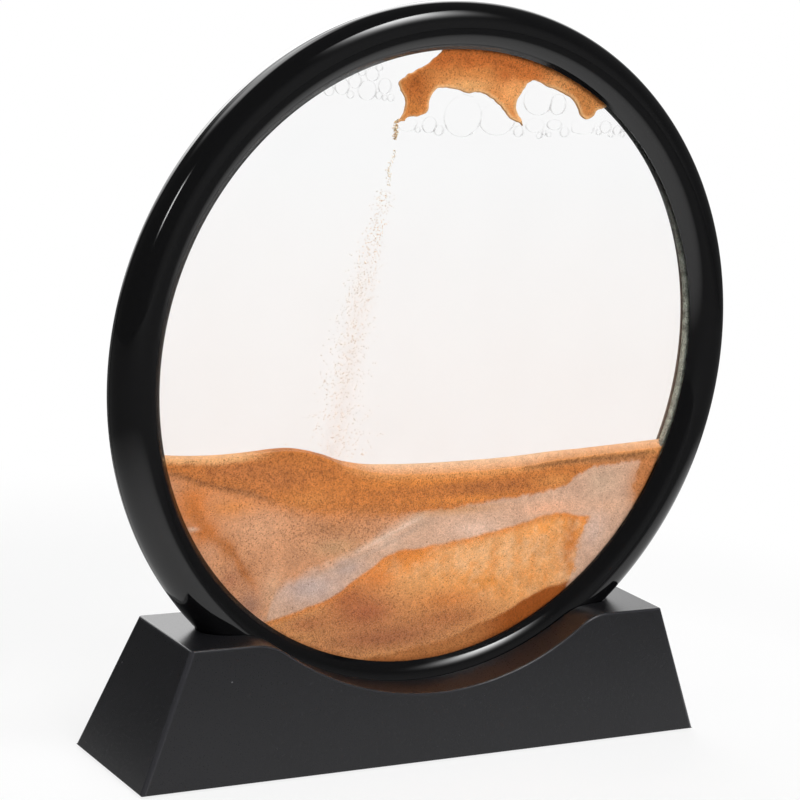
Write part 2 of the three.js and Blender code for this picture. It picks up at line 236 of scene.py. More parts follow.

# ABS from a spark-eroded mould: an even fine tooth scatters the light, so that the black reads as
# soft charcoal from the front and turns pale at a grazing angle. Its edges are rubbed smoother, and
# are painted a lighter grey along them as a painted highlight. A few motes of dust lie on it. The
# tooth is drawn about twice as coarse as a real one of 0.15 mm, to show.
BASE_TOOTH = 0.32 * MM
BASE_CLOUD = 16 * MM
DUST_SPACING = 5 * MM
MOTE_SIZE, MOTE_SHARE = 0.035, 0.16
base_abs, tree, place = bare_material("ABS_spark_eroded_black")
tooth = add_node(tree, "ShaderNodeTexNoise", {"Vector": place, "Scale": 1 / BASE_TOOTH, "Detail": 2.0})
cloud = add_node(tree, "ShaderNodeTexNoise", {"Vector": place, "Scale": 1 / BASE_CLOUD, "Detail": 3.0})
tone = add_node(tree, "ShaderNodeMix", {0: cloud.outputs["Fac"], 6: linear("#1B1B1D"), 7: linear("#202023")},
                data_type="RGBA")
fleck = add_node(tree, "ShaderNodeMix", {0: tooth.outputs["Fac"], 6: linear("#151517"), 7: tone.outputs[2]},
                 data_type="RGBA")
worn_and_highlit_edge = add_node(tree, "ShaderNodeAttribute", {}, attribute_name="rounded_edge")
# Painted highlight: the rounded edges take a lighter grey, which stands in for the light that catches them.
painted_edge_highlight = add_node(tree, "ShaderNodeMix", {0: worn_and_highlit_edge.outputs["Fac"], 6: fleck.outputs[2], 7: linear("#2E2E31")},
                  data_type="RGBA")
dust = add_node(tree, "ShaderNodeTexVoronoi", {"Vector": place, "Scale": 1 / DUST_SPACING})
pick = add_node(tree, "ShaderNodeSeparateColor", {0: dust.outputs["Color"]})
small = add_node(tree, "ShaderNodeMath", {0: dust.outputs["Distance"], 1: MOTE_SIZE}, operation="LESS_THAN")
rare = add_node(tree, "ShaderNodeMath", {0: pick.outputs[0], 1: MOTE_SHARE}, operation="LESS_THAN")
mote = add_node(tree, "ShaderNodeMath", {0: small.outputs[0], 1: rare.outputs[0]}, operation="MULTIPLY")
dusted = add_node(tree, "ShaderNodeMix", {0: mote.outputs[0], 6: painted_edge_highlight.outputs[2], 7: linear("#77777A")},
                  data_type="RGBA")
matt = add_node(tree, "ShaderNodeMapRange", {"Value": tooth.outputs["Fac"], "To Min": 0.24, "To Max": 0.34})
smooth = add_node(tree, "ShaderNodeMix", {0: worn_and_highlit_edge.outputs["Fac"], 2: matt.outputs[0], 3: 0.17})
bump = add_node(tree, "ShaderNodeBump", {"Height": tooth.outputs["Fac"], "Strength": 0.25,
                                         "Distance": 0.02 * MM})
shader = add_node(tree, "ShaderNodeBsdfPrincipled", {
    "Base Color": dusted.outputs[2], "Roughness": smooth.outputs[0], "IOR": 1.38, "Normal": bump.outputs[0]})
add_node(tree, "ShaderNodeOutputMaterial", {"Surface": shader.outputs[0]})
dress(base, base_abs)
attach(base, "base")
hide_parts("base_shell")


# Bottom cover: the flat plate that closes the base from below, with recesses for screws and feet.
# Black polystyrene, moulded with a coarser matt face, and held by four screws.

# Moulded polystyrene with a matt face: a dull even dark grey with a slightly larger tooth.
COVER_TOOTH = 0.5 * MM
cover_ps, tree, place = bare_material("polystyrene_moulded_matt_black")
tooth = add_node(tree, "ShaderNodeTexNoise", {"Vector": place, "Scale": 1 / COVER_TOOTH, "Detail": 2.0})
tone = add_node(tree, "ShaderNodeMix", {0: tooth.outputs["Fac"], 6: linear("#1D1D1E"), 7: linear("#2C2C2E")},
                data_type="RGBA")
matt = add_node(tree, "ShaderNodeMapRange", {"Value": tooth.outputs["Fac"], "To Min": 0.5, "To Max": 0.65})
bump = add_node(tree, "ShaderNodeBump", {"Height": tooth.outputs["Fac"], "Strength": 0.4,
                                         "Distance": 0.03 * MM})
shader = add_node(tree, "ShaderNodeBsdfPrincipled", {
    "Base Color": tone.outputs[2], "Roughness": matt.outputs[0], "IOR": 1.5, "Normal": bump.outputs[0]})
add_node(tree, "ShaderNodeOutputMaterial", {"Surface": shader.outputs[0]})
dress(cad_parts["base_bottom_cover"], cover_ps)


# Cover screws: four self-tapping pan-head screws with a cross recess, driven up into the base.
# Steel, cold headed and zinc plated. One is modelled and copied to the four corners.
SCREW_RIM = 0.45 * MM
CROSS_LENGTH = 2.7 * MM
CROSS_WIDTH = 0.55 * MM
CROSS_DEPTH = 0.8 * MM
SCREW_HEAD_HEIGHT = 1.2 * MM
SCREW_SHANK_RADIUS = 1.15 * MM
SCREW_TIP, SCREW_TIP_SHARE = 1 * MM, 0.25
SAME_PLACE = 0.05 * MM
LEVEL_NORMAL = 0.9
BASE_CORNERS = ("front_left", "front_right", "rear_left", "rear_right")
screw_low, screw_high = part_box("base_screw_front_left")
head_radius = (screw_high.x - screw_low.x) / 2
head_top = screw_low.z + SCREW_HEAD_HEIGHT
bpy.ops.object.select_all(action="DESELECT")
bpy.ops.mesh.primitive_cylinder_add(vertices=40, radius=head_radius, depth=SCREW_HEAD_HEIGHT,
                                    location=(0, 0, screw_low.z + SCREW_HEAD_HEIGHT / 2))
screw = bpy.context.object
bpy.ops.object.transform_apply(location=True, rotation=True, scale=True)
bpy.ops.object.mode_set(mode="EDIT")
choose(screw, "FACE", lambda face: face.normal.z > LEVEL_NORMAL)
bpy.ops.mesh.inset(thickness=head_radius - SCREW_SHANK_RADIUS)
for length in (screw_high.z - head_top - SCREW_TIP, SCREW_TIP):
    bpy.ops.mesh.extrude_region_move(TRANSFORM_OT_translate={"value": (0, 0, length)})
bpy.ops.transform.resize(value=(SCREW_TIP_SHARE, SCREW_TIP_SHARE, 1), center_override=(0, 0, screw_high.z))
choose(screw, "EDGE", lambda edge: max(v.co.z for v in edge.verts) < screw_low.z + SAME_PLACE)
bpy.ops.mesh.bevel(offset=SCREW_RIM, segments=4)
bpy.ops.object.mode_set(mode="OBJECT")
for turn in (0, math.pi / 2):
    bpy.ops.mesh.primitive_cube_add(size=1, location=(0, 0, screw_low.z), rotation=(0, 0, turn),
                                    scale=(CROSS_LENGTH, CROSS_WIDTH, 2 * CROSS_DEPTH))
    cut_away(screw, bpy.context.object)
close_and_smooth(screw, angle=35)

# Zinc plate on steel: a pale cool metal, with a faint cloudiness in its colour and its shine.
ZINC_CLOUD = 0.8 * MM
zinc, tree, place = bare_material("steel_zinc_plated")
cloud = add_node(tree, "ShaderNodeTexNoise", {"Vector": place, "Scale": 1 / ZINC_CLOUD, "Detail": 4.0})
tone = add_node(tree, "ShaderNodeMix", {0: cloud.outputs["Fac"], 6: linear("#8F9296"), 7: linear("#C9CBCE")},
                data_type="RGBA")
dull = add_node(tree, "ShaderNodeMapRange", {"Value": cloud.outputs["Fac"], "To Min": 0.22, "To Max": 0.42})
shader = add_node(tree, "ShaderNodeBsdfPrincipled", {
    "Base Color": tone.outputs[2], "Roughness": dull.outputs[0], "Metallic": 1.0})
add_node(tree, "ShaderNodeOutputMaterial", {"Surface": shader.outputs[0]})
dress(screw, zinc)


def copy_to(piece, name, x, y):
    """A copy of a piece modelled on the Z axis, with its own mesh, moved to a place."""
    copy = bpy.data.objects.new(name, piece.data.copy())
    copy.data.transform(Matrix.Translation((x, y, 0)))
    bpy.context.collection.objects.link(copy)
    return copy


for corner in BASE_CORNERS:
    low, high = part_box("base_screw_" + corner)
    copy = copy_to(screw, "cover_screw_" + corner, (low.x + high.x) / 2, (low.y + high.y) / 2)
    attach(copy, "base")
    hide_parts("base_screw_" + corner)
bpy.data.meshes.remove(screw.data)


# Feet: four round pads glued into the cover's recesses, that keep the base from sliding.
# Black rubber, moulded with a rounded rim and a shallow dish underneath.
FOOT_RIM = 0.45 * MM
FOOT_DISH_EDGE = 1.1 * MM
FOOT_DISH = 0.25 * MM
foot_low, foot_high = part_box("rubber_foot_front_left")
foot_radius = (foot_high.x - foot_low.x) / 2
bpy.ops.object.select_all(action="DESELECT")
bpy.ops.mesh.primitive_cylinder_add(vertices=48, radius=foot_radius, depth=foot_high.z - foot_low.z,
                                    location=(0, 0, (foot_high.z + foot_low.z) / 2))
foot = bpy.context.object
bpy.ops.object.transform_apply(location=True, rotation=True, scale=True)
bpy.ops.object.mode_set(mode="EDIT")
choose(foot, "FACE", lambda face: face.normal.z < -LEVEL_NORMAL)
bpy.ops.mesh.inset(thickness=FOOT_DISH_EDGE)
bpy.ops.mesh.inset(thickness=FOOT_RIM)
bpy.ops.transform.translate(value=(0, 0, FOOT_DISH))
choose(foot, "EDGE", lambda edge: all(
    v.co.z < foot_low.z + SAME_PLACE and v.co.xy.length > foot_radius - SAME_PLACE for v in edge.verts))
bpy.ops.mesh.bevel(offset=FOOT_RIM, segments=4)
bpy.ops.object.mode_set(mode="OBJECT")
close_and_smooth(foot, angle=40)

# Moulded rubber: dead matt, slightly grey with bloom, with a fine pitted skin.
RUBBER_PIT = 0.4 * MM
rubber, tree, place = bare_material("rubber_moulded_black")
pits = add_node(tree, "ShaderNodeTexNoise", {"Vector": place, "Scale": 1 / RUBBER_PIT, "Detail": 3.0})
tone = add_node(tree, "ShaderNodeMix", {0: pits.outputs["Fac"], 6: linear("#171717"), 7: linear("#302F2E")},
                data_type="RGBA")
bump = add_node(tree, "ShaderNodeBump", {"Height": pits.outputs["Fac"], "Strength": 0.5,
                                         "Distance": 0.04 * MM})
shader = add_node(tree, "ShaderNodeBsdfPrincipled", {
    "Base Color": tone.outputs[2], "Roughness": 0.85, "IOR": 1.5, "Normal": bump.outputs[0]})
add_node(tree, "ShaderNodeOutputMaterial", {"Surface": shader.outputs[0]})
dress(foot, rubber)
for corner in BASE_CORNERS:
    low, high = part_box("rubber_foot_" + corner)
    copy = copy_to(foot, "foot_pad_" + corner, (low.x + high.x) / 2, (low.y + high.y) / 2)
    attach(copy, "base")
    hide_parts("rubber_foot_" + corner)
bpy.data.meshes.remove(foot.data)


# Ring halves: the round frame, split through its middle plane and clipped together over the cell.
# Black ABS, injection moulded in a polished mould: a round bead that falls in a cove to a thin lip
# on the glass, with a wider opening at the rear. The seam runs round the rim as a fine groove.
WINDOW_RADIUS, COVE_RADIUS = 78.3 * MM, 6.4 * MM
REAR_WINDOW_RADIUS, REAR_COVE_RADIUS = 79.5 * MM, 4.5 * MM
LIP_FACE = 2.73 * MM
SEAM_HALF_WIDTH = 0.22 * MM
SEAM_DEPTH = 0.3 * MM
JOIN_GAP = 0.01 * MM
SEAT_GAP = 0.02 * MM
SEAT_CLEARANCE = 0.3 * MM
RING_STEPS, BEAD_STEPS = 288, 25
glass_low, glass_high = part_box("front_glass")
glass_radius = (glass_high.z - glass_low.z) / 2


def ring_section(window_radius, cove_radius):
    """The front half's section: seam, bead, cove, straight slope to the lip, and the glass's seat."""
    run, drop = crest_radius - window_radius, cove_radius - (ring_half - LIP_FACE)
    cove_slope = math.atan2(run, drop) - math.acos(cove_radius / math.hypot(run, drop))
    section = [(ring_radius - SEAM_DEPTH, -JOIN_GAP)]
    for turn in np.linspace(math.asin(SEAM_HALF_WIDTH / ring_half), math.pi / 2, BEAD_STEPS):
        section.append((crest_radius + CREST_TO_RIM * math.cos(turn), -ring_half * math.sin(turn)))
    for turn in np.linspace(0, cove_slope, BEAD_STEPS)[1:]:
        section.append((crest_radius - cove_radius * math.sin(turn),
                        cove_radius * (1 - math.cos(turn)) - ring_half))
    return section + [(window_radius, -LIP_FACE), (window_radius, glass_low.y - SEAT_GAP),
                      (glass_radius + SEAT_CLEARANCE, glass_low.y - SEAT_GAP),
                      (glass_radius + SEAT_CLEARANCE, -JOIN_GAP)]


# Polished ABS: a deep black gloss that mirrors the softboxes and the floor as clear soft shapes,
# with the slow ripple that moulded plastic keeps and a trace of fine handling haze.
RING_RIPPLE = 9 * MM
RING_HAZE = 1.2 * MM
ring_abs, tree, place = bare_material("ABS_polished_black")
ripple = add_node(tree, "ShaderNodeTexNoise", {"Vector": place, "Scale": 1 / RING_RIPPLE, "Detail": 1.0})
haze = add_node(tree, "ShaderNodeTexNoise", {"Vector": place, "Scale": 1 / RING_HAZE, "Detail": 4.0})
tone = add_node(tree, "ShaderNodeMix", {0: haze.outputs["Fac"], 6: linear("#060607"), 7: linear("#0B0B0C")},
                data_type="RGBA")
gloss = add_node(tree, "ShaderNodeMapRange", {"Value": haze.outputs["Fac"], "To Min": 0.05, "To Max": 0.09})
bump = add_node(tree, "ShaderNodeBump", {"Height": ripple.outputs["Fac"], "Strength": 0.15,
                                         "Distance": 0.1 * MM})
shader = add_node(tree, "ShaderNodeBsdfPrincipled", {
    "Base Color": tone.outputs[2], "Roughness": gloss.outputs[0], "IOR": 1.5, "Normal": bump.outputs[0]})
add_node(tree, "ShaderNodeOutputMaterial", {"Surface": shader.outputs[0]})
for name, node, side, section in (
        ("front_ring", "front_bezel", 1, ring_section(WINDOW_RADIUS, COVE_RADIUS)),
        ("rear_ring", "rear_bezel", -1, ring_section(REAR_WINDOW_RADIUS, REAR_COVE_RADIUS))):
    half = spun(name, [(radius, side * y) for radius, y in section], RING_STEPS)
    dress(half, ring_abs)
    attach(half, "frame")
    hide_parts(node)


# Glass panes: the front and rear discs of the cell, seated behind the ring's lips.
# Clear float glass, cut round with ground edges, which the ring hides.

# Float glass: all but invisible from the front, with a mirror-like sheen that grows to the side.
SMEAR = 30 * MM
FRONT_SHEEN, SHEEN_POWER = 0.003, 5.0
glass, tree, place = bare_material("float_glass_clear")
smear = add_node(tree, "ShaderNodeTexNoise", {"Vector": place, "Scale": 1 / SMEAR, "Detail": 2.0})
dull = add_node(tree, "ShaderNodeMapRange", {"Value": smear.outputs["Fac"], "To Min": 0.01, "To Max": 0.05})
tint = add_node(tree, "ShaderNodeMix", {0: smear.outputs["Fac"], 6: linear("#FDFDFD"), 7: linear("#FEFEFE")},
                data_type="RGBA")
slant = add_node(tree, "ShaderNodeLayerWeight", {"Blend": 0.5})
steep = add_node(tree, "ShaderNodeMath", {0: slant.outputs["Facing"], 1: SHEEN_POWER}, operation="POWER")
rim_light = add_node(tree, "ShaderNodeMapRange", {"Value": steep.outputs[0], "To Min": FRONT_SHEEN})
clear = add_node(tree, "ShaderNodeBsdfTransparent", {"Color": tint.outputs[2]})
sheen = add_node(tree, "ShaderNodeBsdfAnisotropic", {"Color": linear("#FFFFFF"),
                                                     "Roughness": dull.outputs[0]})
shader = add_node(tree, "ShaderNodeMixShader", {0: rim_light.outputs[0], 1: clear.outputs[0],
                                                2: sheen.outputs[0]})
add_node(tree, "ShaderNodeOutputMaterial", {"Surface": shader.outputs[0]})
for pane in ("front_glass", "rear_glass"):
    dress(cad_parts[pane], glass)


# Cell spacer: the gasket ring that holds the panes apart and seals the water in.
# Grey-black silicone, laid as a bead and squeezed flat between the panes, so its inner edge bulges.
SPACER_BULGE, BULGE_POWER = 0.85 * MM, 4
BULGE_STEPS = 15
SPACER_SKIN = 0.01 * MM
spacer_low, spacer_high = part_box("cell_spacer")
spacer_outer = (spacer_high.z - spacer_low.z) / 2
spacer_inner = WINDOW_RADIUS + SEAT_GAP
spacer_half = spacer_high.y - SPACER_SKIN
section = [(spacer_outer, -spacer_half)]
for share in np.linspace(-1, 1, BULGE_STEPS):
    section.append((spacer_inner + SPACER_BULGE * share ** BULGE_POWER, spacer_half * share))
section += [(spacer_outer, spacer_half)]
spacer = spun("cell_gasket", section, steps=180)

# Silicone under wet glass: a dark skin with milky olive patches, where sand dust clings to it. The
# dust thickens downwards, and ends where the sand covers the gasket.
GASKET_PATCH = 2.2 * MM
GASKET_GRAIN = 0.35 * MM
DUST_TOP, DUST_FULL = ring_centre.z + 46 * MM, ring_centre.z + 6 * MM
COVERED, UNCOVERED = ring_centre.z - 30 * MM, ring_centre.z - 26 * MM
silicone, tree, place = bare_material("silicone_grey_black")
patch = add_node(tree, "ShaderNodeTexNoise", {"Vector": place, "Scale": 1 / GASKET_PATCH, "Detail": 3.0})
grain = add_node(tree, "ShaderNodeTexNoise", {"Vector": place, "Scale": 1 / GASKET_GRAIN, "Detail": 2.0})
height = add_node(tree, "ShaderNodeSeparateXYZ", {0: place})
dusty = add_node(tree, "ShaderNodeMapRange", {"Value": height.outputs["Z"], "From Min": DUST_TOP,
                                              "From Max": DUST_FULL})
free = add_node(tree, "ShaderNodeMapRange", {"Value": height.outputs["Z"], "From Min": COVERED,
                                             "From Max": UNCOVERED})
milky = add_node(tree, "ShaderNodeMapRange", {"Value": patch.outputs["Fac"], "From Min": 0.3,
                                              "From Max": 0.62, "To Min": 0.3})
clinging = add_node(tree, "ShaderNodeMath", {0: dusty.outputs[0], 1: free.outputs[0]},
                    operation="MULTIPLY")
mottle = add_node(tree, "ShaderNodeMath", {0: milky.outputs[0], 1: clinging.outputs[0]},
                  operation="MULTIPLY")
tone = add_node(tree, "ShaderNodeMix", {0: mottle.outputs[0], 6: linear("#111211"), 7: linear("#D4DECF")},
                data_type="RGBA")
pits = add_node(tree, "ShaderNodeMapRange", {"Value": grain.outputs["Fac"], "From Min": 0.35,
                                             "From Max": 0.6, "To Min": 0.35})
specks = add_node(tree, "ShaderNodeMix", {0: pits.outputs[0], 6: linear("#1E1F1C"), 7: tone.outputs[2]},
                  data_type="RGBA")
shader = add_node(tree, "ShaderNodeBsdfPrincipled", {"Base Color": specks.outputs[2], "Roughness": 0.6,
                                                     "IOR": 1.4})
add_node(tree, "ShaderNodeOutputMaterial", {"Surface": shader.outputs[0]})
dress(spacer, silicone)
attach(spacer, "frame")
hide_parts("cell_spacer")


# Filling plug: the stopper of the port in the gasket through which the cell was filled, hidden by the
# ring. Soft clear silicone, moulded with round edges and pressed in, clear of the sand.
PLUG_TIP = 79.15 * MM
PLUG_EDGE = 0.3 * MM
plug_low, plug_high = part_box("filling_plug")
plug_middle = (plug_low + plug_high) / 2
plug_length = plug_high.z - ring_centre.z - PLUG_TIP
bpy.ops.object.select_all(action="DESELECT")
bpy.ops.mesh.primitive_cylinder_add(vertices=32, radius=(plug_high.x - plug_low.x) / 2, depth=plug_length,
                                    location=(plug_middle.x, plug_middle.y, plug_high.z - plug_length / 2))
plug = bpy.context.object
plug.name = "port_stopper"
bpy.ops.object.transform_apply(location=True, rotation=True, scale=True)
bpy.ops.object.mode_set(mode="EDIT")
choose(plug, "EDGE", lambda edge: abs(edge.verts[0].co.z - edge.verts[1].co.z) < PLUG_EDGE)
bpy.ops.mesh.bevel(offset=PLUG_EDGE, segments=4)
bpy.ops.object.mode_set(mode="OBJECT")
close_and_smooth(plug, angle=35)

# Clear silicone: a cloudy grey-white with a soft gloss.
PLUG_CLOUD = 0.6 * MM
plug_silicone, tree, place = bare_material("silicone_translucent")
cloud = add_node(tree, "ShaderNodeTexNoise", {"Vector": place, "Scale": 1 / PLUG_CLOUD, "Detail": 2.0})
tone = add_node(tree, "ShaderNodeMix", {0: cloud.outputs["Fac"], 6: linear("#A9A8A2"), 7: linear("#CFCEC9")},
                data_type="RGBA")
shader = add_node(tree, "ShaderNodeBsdfPrincipled", {"Base Color": tone.outputs[2], "Roughness": 0.35,
                                                     "IOR": 1.41})
add_node(tree, "ShaderNodeOutputMaterial", {"Surface": shader.outputs[0]})
dress(plug, plug_silicone)
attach(plug, "frame")
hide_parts("filling_plug")


# Sand bed, dune: the lowest layer, a bright orange heap with a dark speckled foot. Dyed quartz sand that
# has settled under water between the panes, up against both. Places of sand are (x, z) in mm from the
# ring's centre, and a patch is a colour, its middle and its spreads.
SAND_PITCH = 0.45
SAND_FACE = 1.05 * MM
SAND_RADIUS = 79
DUNE_START, DUNE_STOP = -43.2, 56.7
DUNE_TOP = [
    (-43, -65), (-38, -63.9), (-30, -61.5), (-25, -60), (-20, -57.2), (-15, -54), (-10, -50.6), (-7, -49.4),
    (0, -48.7), (10, -47.6), (20, -46), (30, -44.2), (40, -42), (44, -41.8), (48, -42.7), (54, -43.7)]
# The dune's right end, as (z, x).
DUNE_END = [(-66, 47.5), (-60, 49.2), (-55, 50.4), (-50, 50.8), (-46.5, 51.6), (-44, 53), (-41, 54)]
DUNE_FOOT = [
    (-20, -79), (-10, -76.6), (0, -75.6), (12, -73.6), (18, -71.6), (24, -69.6), (30, -67.4), (36, -64.3),
    (42, -62), (48, -61)]
DUNE_GROUND, DUNE_ORANGE, DUNE_PALE = "#DC9D62", "#DC8838", "#E3B58A"
DUNE_RIDGE, DUNE_FOOT_TINT, DUNE_WALL_PAINTED_SHADE = "#D37E3C", "#97501F", "#8F4C20"
DUNE_DARK, DUNE_DEEP_DARK = 0.02, 0.11
DUNE_PATCHES = [
    ("#E5994F", 39, -44.5, 12, 3.5), ("#D8843F", -3, -50.5, 8, 3), ("#D38243", -12, -55.5, 6, 4),
    ("#E2AA74", 22, -53, 12, 5), ("#DA934F", 20, -59.5, 13, 2.5), ("#CC8146", 10, -63.5, 11, 3),
    ("#B97040", -20, -60.5, 8, 5), ("#A96440", -14, -65, 11, 5), ("#B87545", 12, -68, 14, 3),
    ("#A76945", -8, -72, 24, 4.5), ("#B4744A", -31, -66.5, 8, 2.6), ("#C2773C", 48, -51, 3, 8)]


def smooth_line(points):
    """A smooth height over x through the points, level past both ends, all in mm."""
    xs, zs = np.array(points, float).T
    slopes = np.gradient(zs, xs)

    def height(x):
        x = np.clip(x, xs[0], xs[-1])
        i = np.clip(np.searchsorted(xs, x) - 1, 0, len(xs) - 2)
        step = xs[i + 1] - xs[i]
        t = (x - xs[i]) / step
        return ((1 + 2 * t) * (1 - t) ** 2 * zs[i] + t * (1 - t) ** 2 * step * slopes[i]
                + t ** 2 * (3 - 2 * t) * zs[i + 1] + t ** 2 * (t - 1) * step * slopes[i + 1])
    return height


def cell_wall(x):
    """The height of the cell's lower wall."""
    return -np.sqrt(np.maximum(SAND_RADIUS ** 2 - x ** 2, 0))


def sand_slab(name, x_start, x_end, top, bottom, rows, back_rise):
    """A slab of sand between two lines: a grid in columns, extruded back to the rear pane."""
    first, last = round(x_start / SAND_PITCH), round(x_end / SAND_PITCH)
    columns = last - first
    bpy.ops.object.select_all(action="DESELECT")
    bpy.ops.mesh.primitive_grid_add(x_subdivisions=columns, y_subdivisions=rows, size=1)
    slab = bpy.context.object
    slab.name = name
    bpy.ops.object.mode_set(mode="EDIT")
    bpy.ops.mesh.select_all(action="SELECT")
    bpy.ops.mesh.extrude_region_move(TRANSFORM_OT_translate={"value": (0, 0, 1)})
    bpy.ops.object.mode_set(mode="OBJECT")
    across, up, back = np.array([vertex.co for vertex in slab.data.vertices]).T
    x = SAND_PITCH * np.round(first + columns * (across + 0.5))
    low = bottom(x)
    high = np.maximum(top(x) + back_rise(x) * np.round(back), low)
    z = low + (high - low) * (up + 0.5)
    places = np.stack([x * MM, SAND_FACE * (2 * np.round(back) - 1), z * MM + ring_centre.z], 1)
    slab.data.vertices.foreach_set("co", places.ravel())
    close_and_smooth(slab, angle=50)
    return slab


def no_rise(x):
    """A layer as high at the rear pane as at the front one."""
    return 0 * x


# Dyed quartz sand: each grain keeps its own shade, dark ones gather in loose clots, and the wet mass
# is mottled in soft drifts. Grains of 0.15 mm are drawn at 0.28 mm, to show.
SAND_GRAIN = 0.28 * MM
SAND_CLOT = 1.1 * MM
SAND_DRIFT = 3 * MM
quartz, tree, place = bare_material("quartz_sand_dyed")
own_tint = add_node(tree, "ShaderNodeAttribute", {}, attribute_name="tint")
dark_share = add_node(tree, "ShaderNodeAttribute", {}, attribute_name="dark_grains")
grains = add_node(tree, "ShaderNodeTexVoronoi", {"Vector": place, "Scale": 1 / SAND_GRAIN})
chance = add_node(tree, "ShaderNodeSeparateColor", {0: grains.outputs["Color"]})
clots = add_node(tree, "ShaderNodeTexNoise", {"Vector": place, "Scale": 1 / SAND_CLOT, "Detail": 2.0})
drift = add_node(tree, "ShaderNodeTexNoise", {"Vector": place, "Scale": 1 / SAND_DRIFT, "Detail": 4.0})
shade = add_node(tree, "ShaderNodeMapRange", {"Value": chance.outputs[0], "To Min": 0.84, "To Max": 1.18})
sway = add_node(tree, "ShaderNodeMapRange", {"Value": drift.outputs["Fac"], "From Min": 0.3, "From Max": 0.7,
                                             "To Min": 0.92, "To Max": 1.12})
level = add_node(tree, "ShaderNodeMath", {0: shade.outputs[0], 1: sway.outputs[0]}, operation="MULTIPLY")
varied = add_node(tree, "ShaderNodeHueSaturation", {"Value": level.outputs[0],
                                                    "Color": own_tint.outputs["Color"]})
gather = add_node(tree, "ShaderNodeMapRange", {"Value": clots.outputs["Fac"], "From Min": 0.38,
                                               "From Max": 0.7, "To Min": 0.3, "To Max": 3.0})
odds = add_node(tree, "ShaderNodeMath", {0: dark_share.outputs["Fac"], 1: gather.outputs[0]},
                operation="MULTIPLY")
is_dark = add_node(tree, "ShaderNodeMath", {0: chance.outputs[1], 1: odds.outputs[0]}, operation="LESS_THAN")
how_dark = add_node(tree, "ShaderNodeMapRange", {"Value": chance.outputs[0], "To Min": 0.25, "To Max": 0.7})
dark_mix = add_node(tree, "ShaderNodeMath", {0: is_dark.outputs[0], 1: how_dark.outputs[0]},
                    operation="MULTIPLY")
mixed = add_node(tree, "ShaderNodeMix", {0: dark_mix.outputs[0], 6: varied.outputs[0], 7: linear("#5C381F")},
                 data_type="RGBA")
bump = add_node(tree, "ShaderNodeBump", {"Height": grains.outputs["Distance"], "Strength": 0.2,
                                         "Distance": 0.06 * MM})
shader = add_node(tree, "ShaderNodeBsdfPrincipled", {
    "Base Color": mixed.outputs[2], "Roughness": 0.8, "Specular IOR Level": 0.15, "Normal": bump.outputs[0]})
add_node(tree, "ShaderNodeOutputMaterial", {"Surface": shader.outputs[0]})

dune_top = smooth_line(DUNE_TOP)


def dune_back(x):
    """The dune's upper line, and past its ends the cell's wall."""
    return np.maximum(np.where((x < DUNE_START) | (x > DUNE_STOP), -SAND_RADIUS, dune_top(x)), cell_wall(x))


dune = sand_slab("sand_bed_dune", DUNE_START, DUNE_STOP + SAND_PITCH, dune_back, cell_wall, rows=60,
                 back_rise=no_rise)
dress(dune, quartz)
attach(dune, "sandscape")
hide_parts("sand_dune")


# Sand bed, pale drift: the white vein that lies over the dune and fills the right end of the bed.
# Undyed white quartz sand, settled on a slant, with streaks where it slid.
SPECKLED_LOW = [
    (-78, -25), (-73, -26.5), (-66, -29.2), (-60, -31), (-50, -32.8), (-45, -34.6), (-40, -36.5),
    (-35, -37.8), (-30, -38.5), (-20, -39.4), (-10, -39.8), (0, -39.2), (10, -38.4), (20, -37.5),
    (30, -36.5), (40, -35.2), (44.5, -34), (48, -31.6), (51, -30.2), (60, -29.3), (70, -28.6), (78, -28)]
PALE_TOP = [
    (-43, -64.6), (-42, -60.5), (-40, -57), (-35, -54), (-25, -51), (-20, -48.6), (-15, -46), (-10, -43.5),
    (-5, -41), (0, -38), (4, -33), (10, -27)]
PALE_END = 73.8
STREAK = [(-34, -52.5), (-20, -48.9), (-10, -44.8), (2, -39.6)]
STREAK_LIGHT, STREAK_SHADE, STREAK_SHADE_DROP = "#DEC3AE", "#B89C88", 2.4
PALE_GROUND, PALE_DULL, PALE_RIM = "#CBA48A", "#B99079", "#BE7945"
PALE_DARK, PALE_RIM_DARK = 0.012, 0.1
PALE_RIM_FOOT, PALE_RIM_HEAD = -6, 5
PALE_PATCHES = [
    ("#BDA69C", -31, -57, 9, 4), ("#B89F92", -21, -52.5, 5, 2.5), ("#D4B199", -10, -46.5, 4, 2),
    ("#C3A188", 1, -42, 4, 1.5), ("#DCBAA4", 16, -44.5, 7, 2), ("#C6956B", 8, -39, 14, 1.3),
    ("#DFAB8A", 40, -40.5, 9, 2.2), ("#C3A48B", 56, -34, 5, 4), ("#D8AB8C", 57, -41, 6, 2),
    ("#C9AA98", 55, -47, 4, 5), ("#C38F6B", 67, -36, 2.6, 6), ("#A96A44", 71, -36, 1.8, 8)]
speckled_low = smooth_line(SPECKLED_LOW)
pale_line = smooth_line(PALE_TOP)


def pale_top(x):
    """The drift's upper line: its own on the left, then the speckled layer's."""
    return np.minimum(pale_line(x), speckled_low(x))


pale = sand_slab("sand_bed_pale", DUNE_START, PALE_END, pale_top, dune_back, rows=44,
                 back_rise=no_rise)
dress(pale, quartz)
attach(pale, "sandscape")
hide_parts("sand_pale")


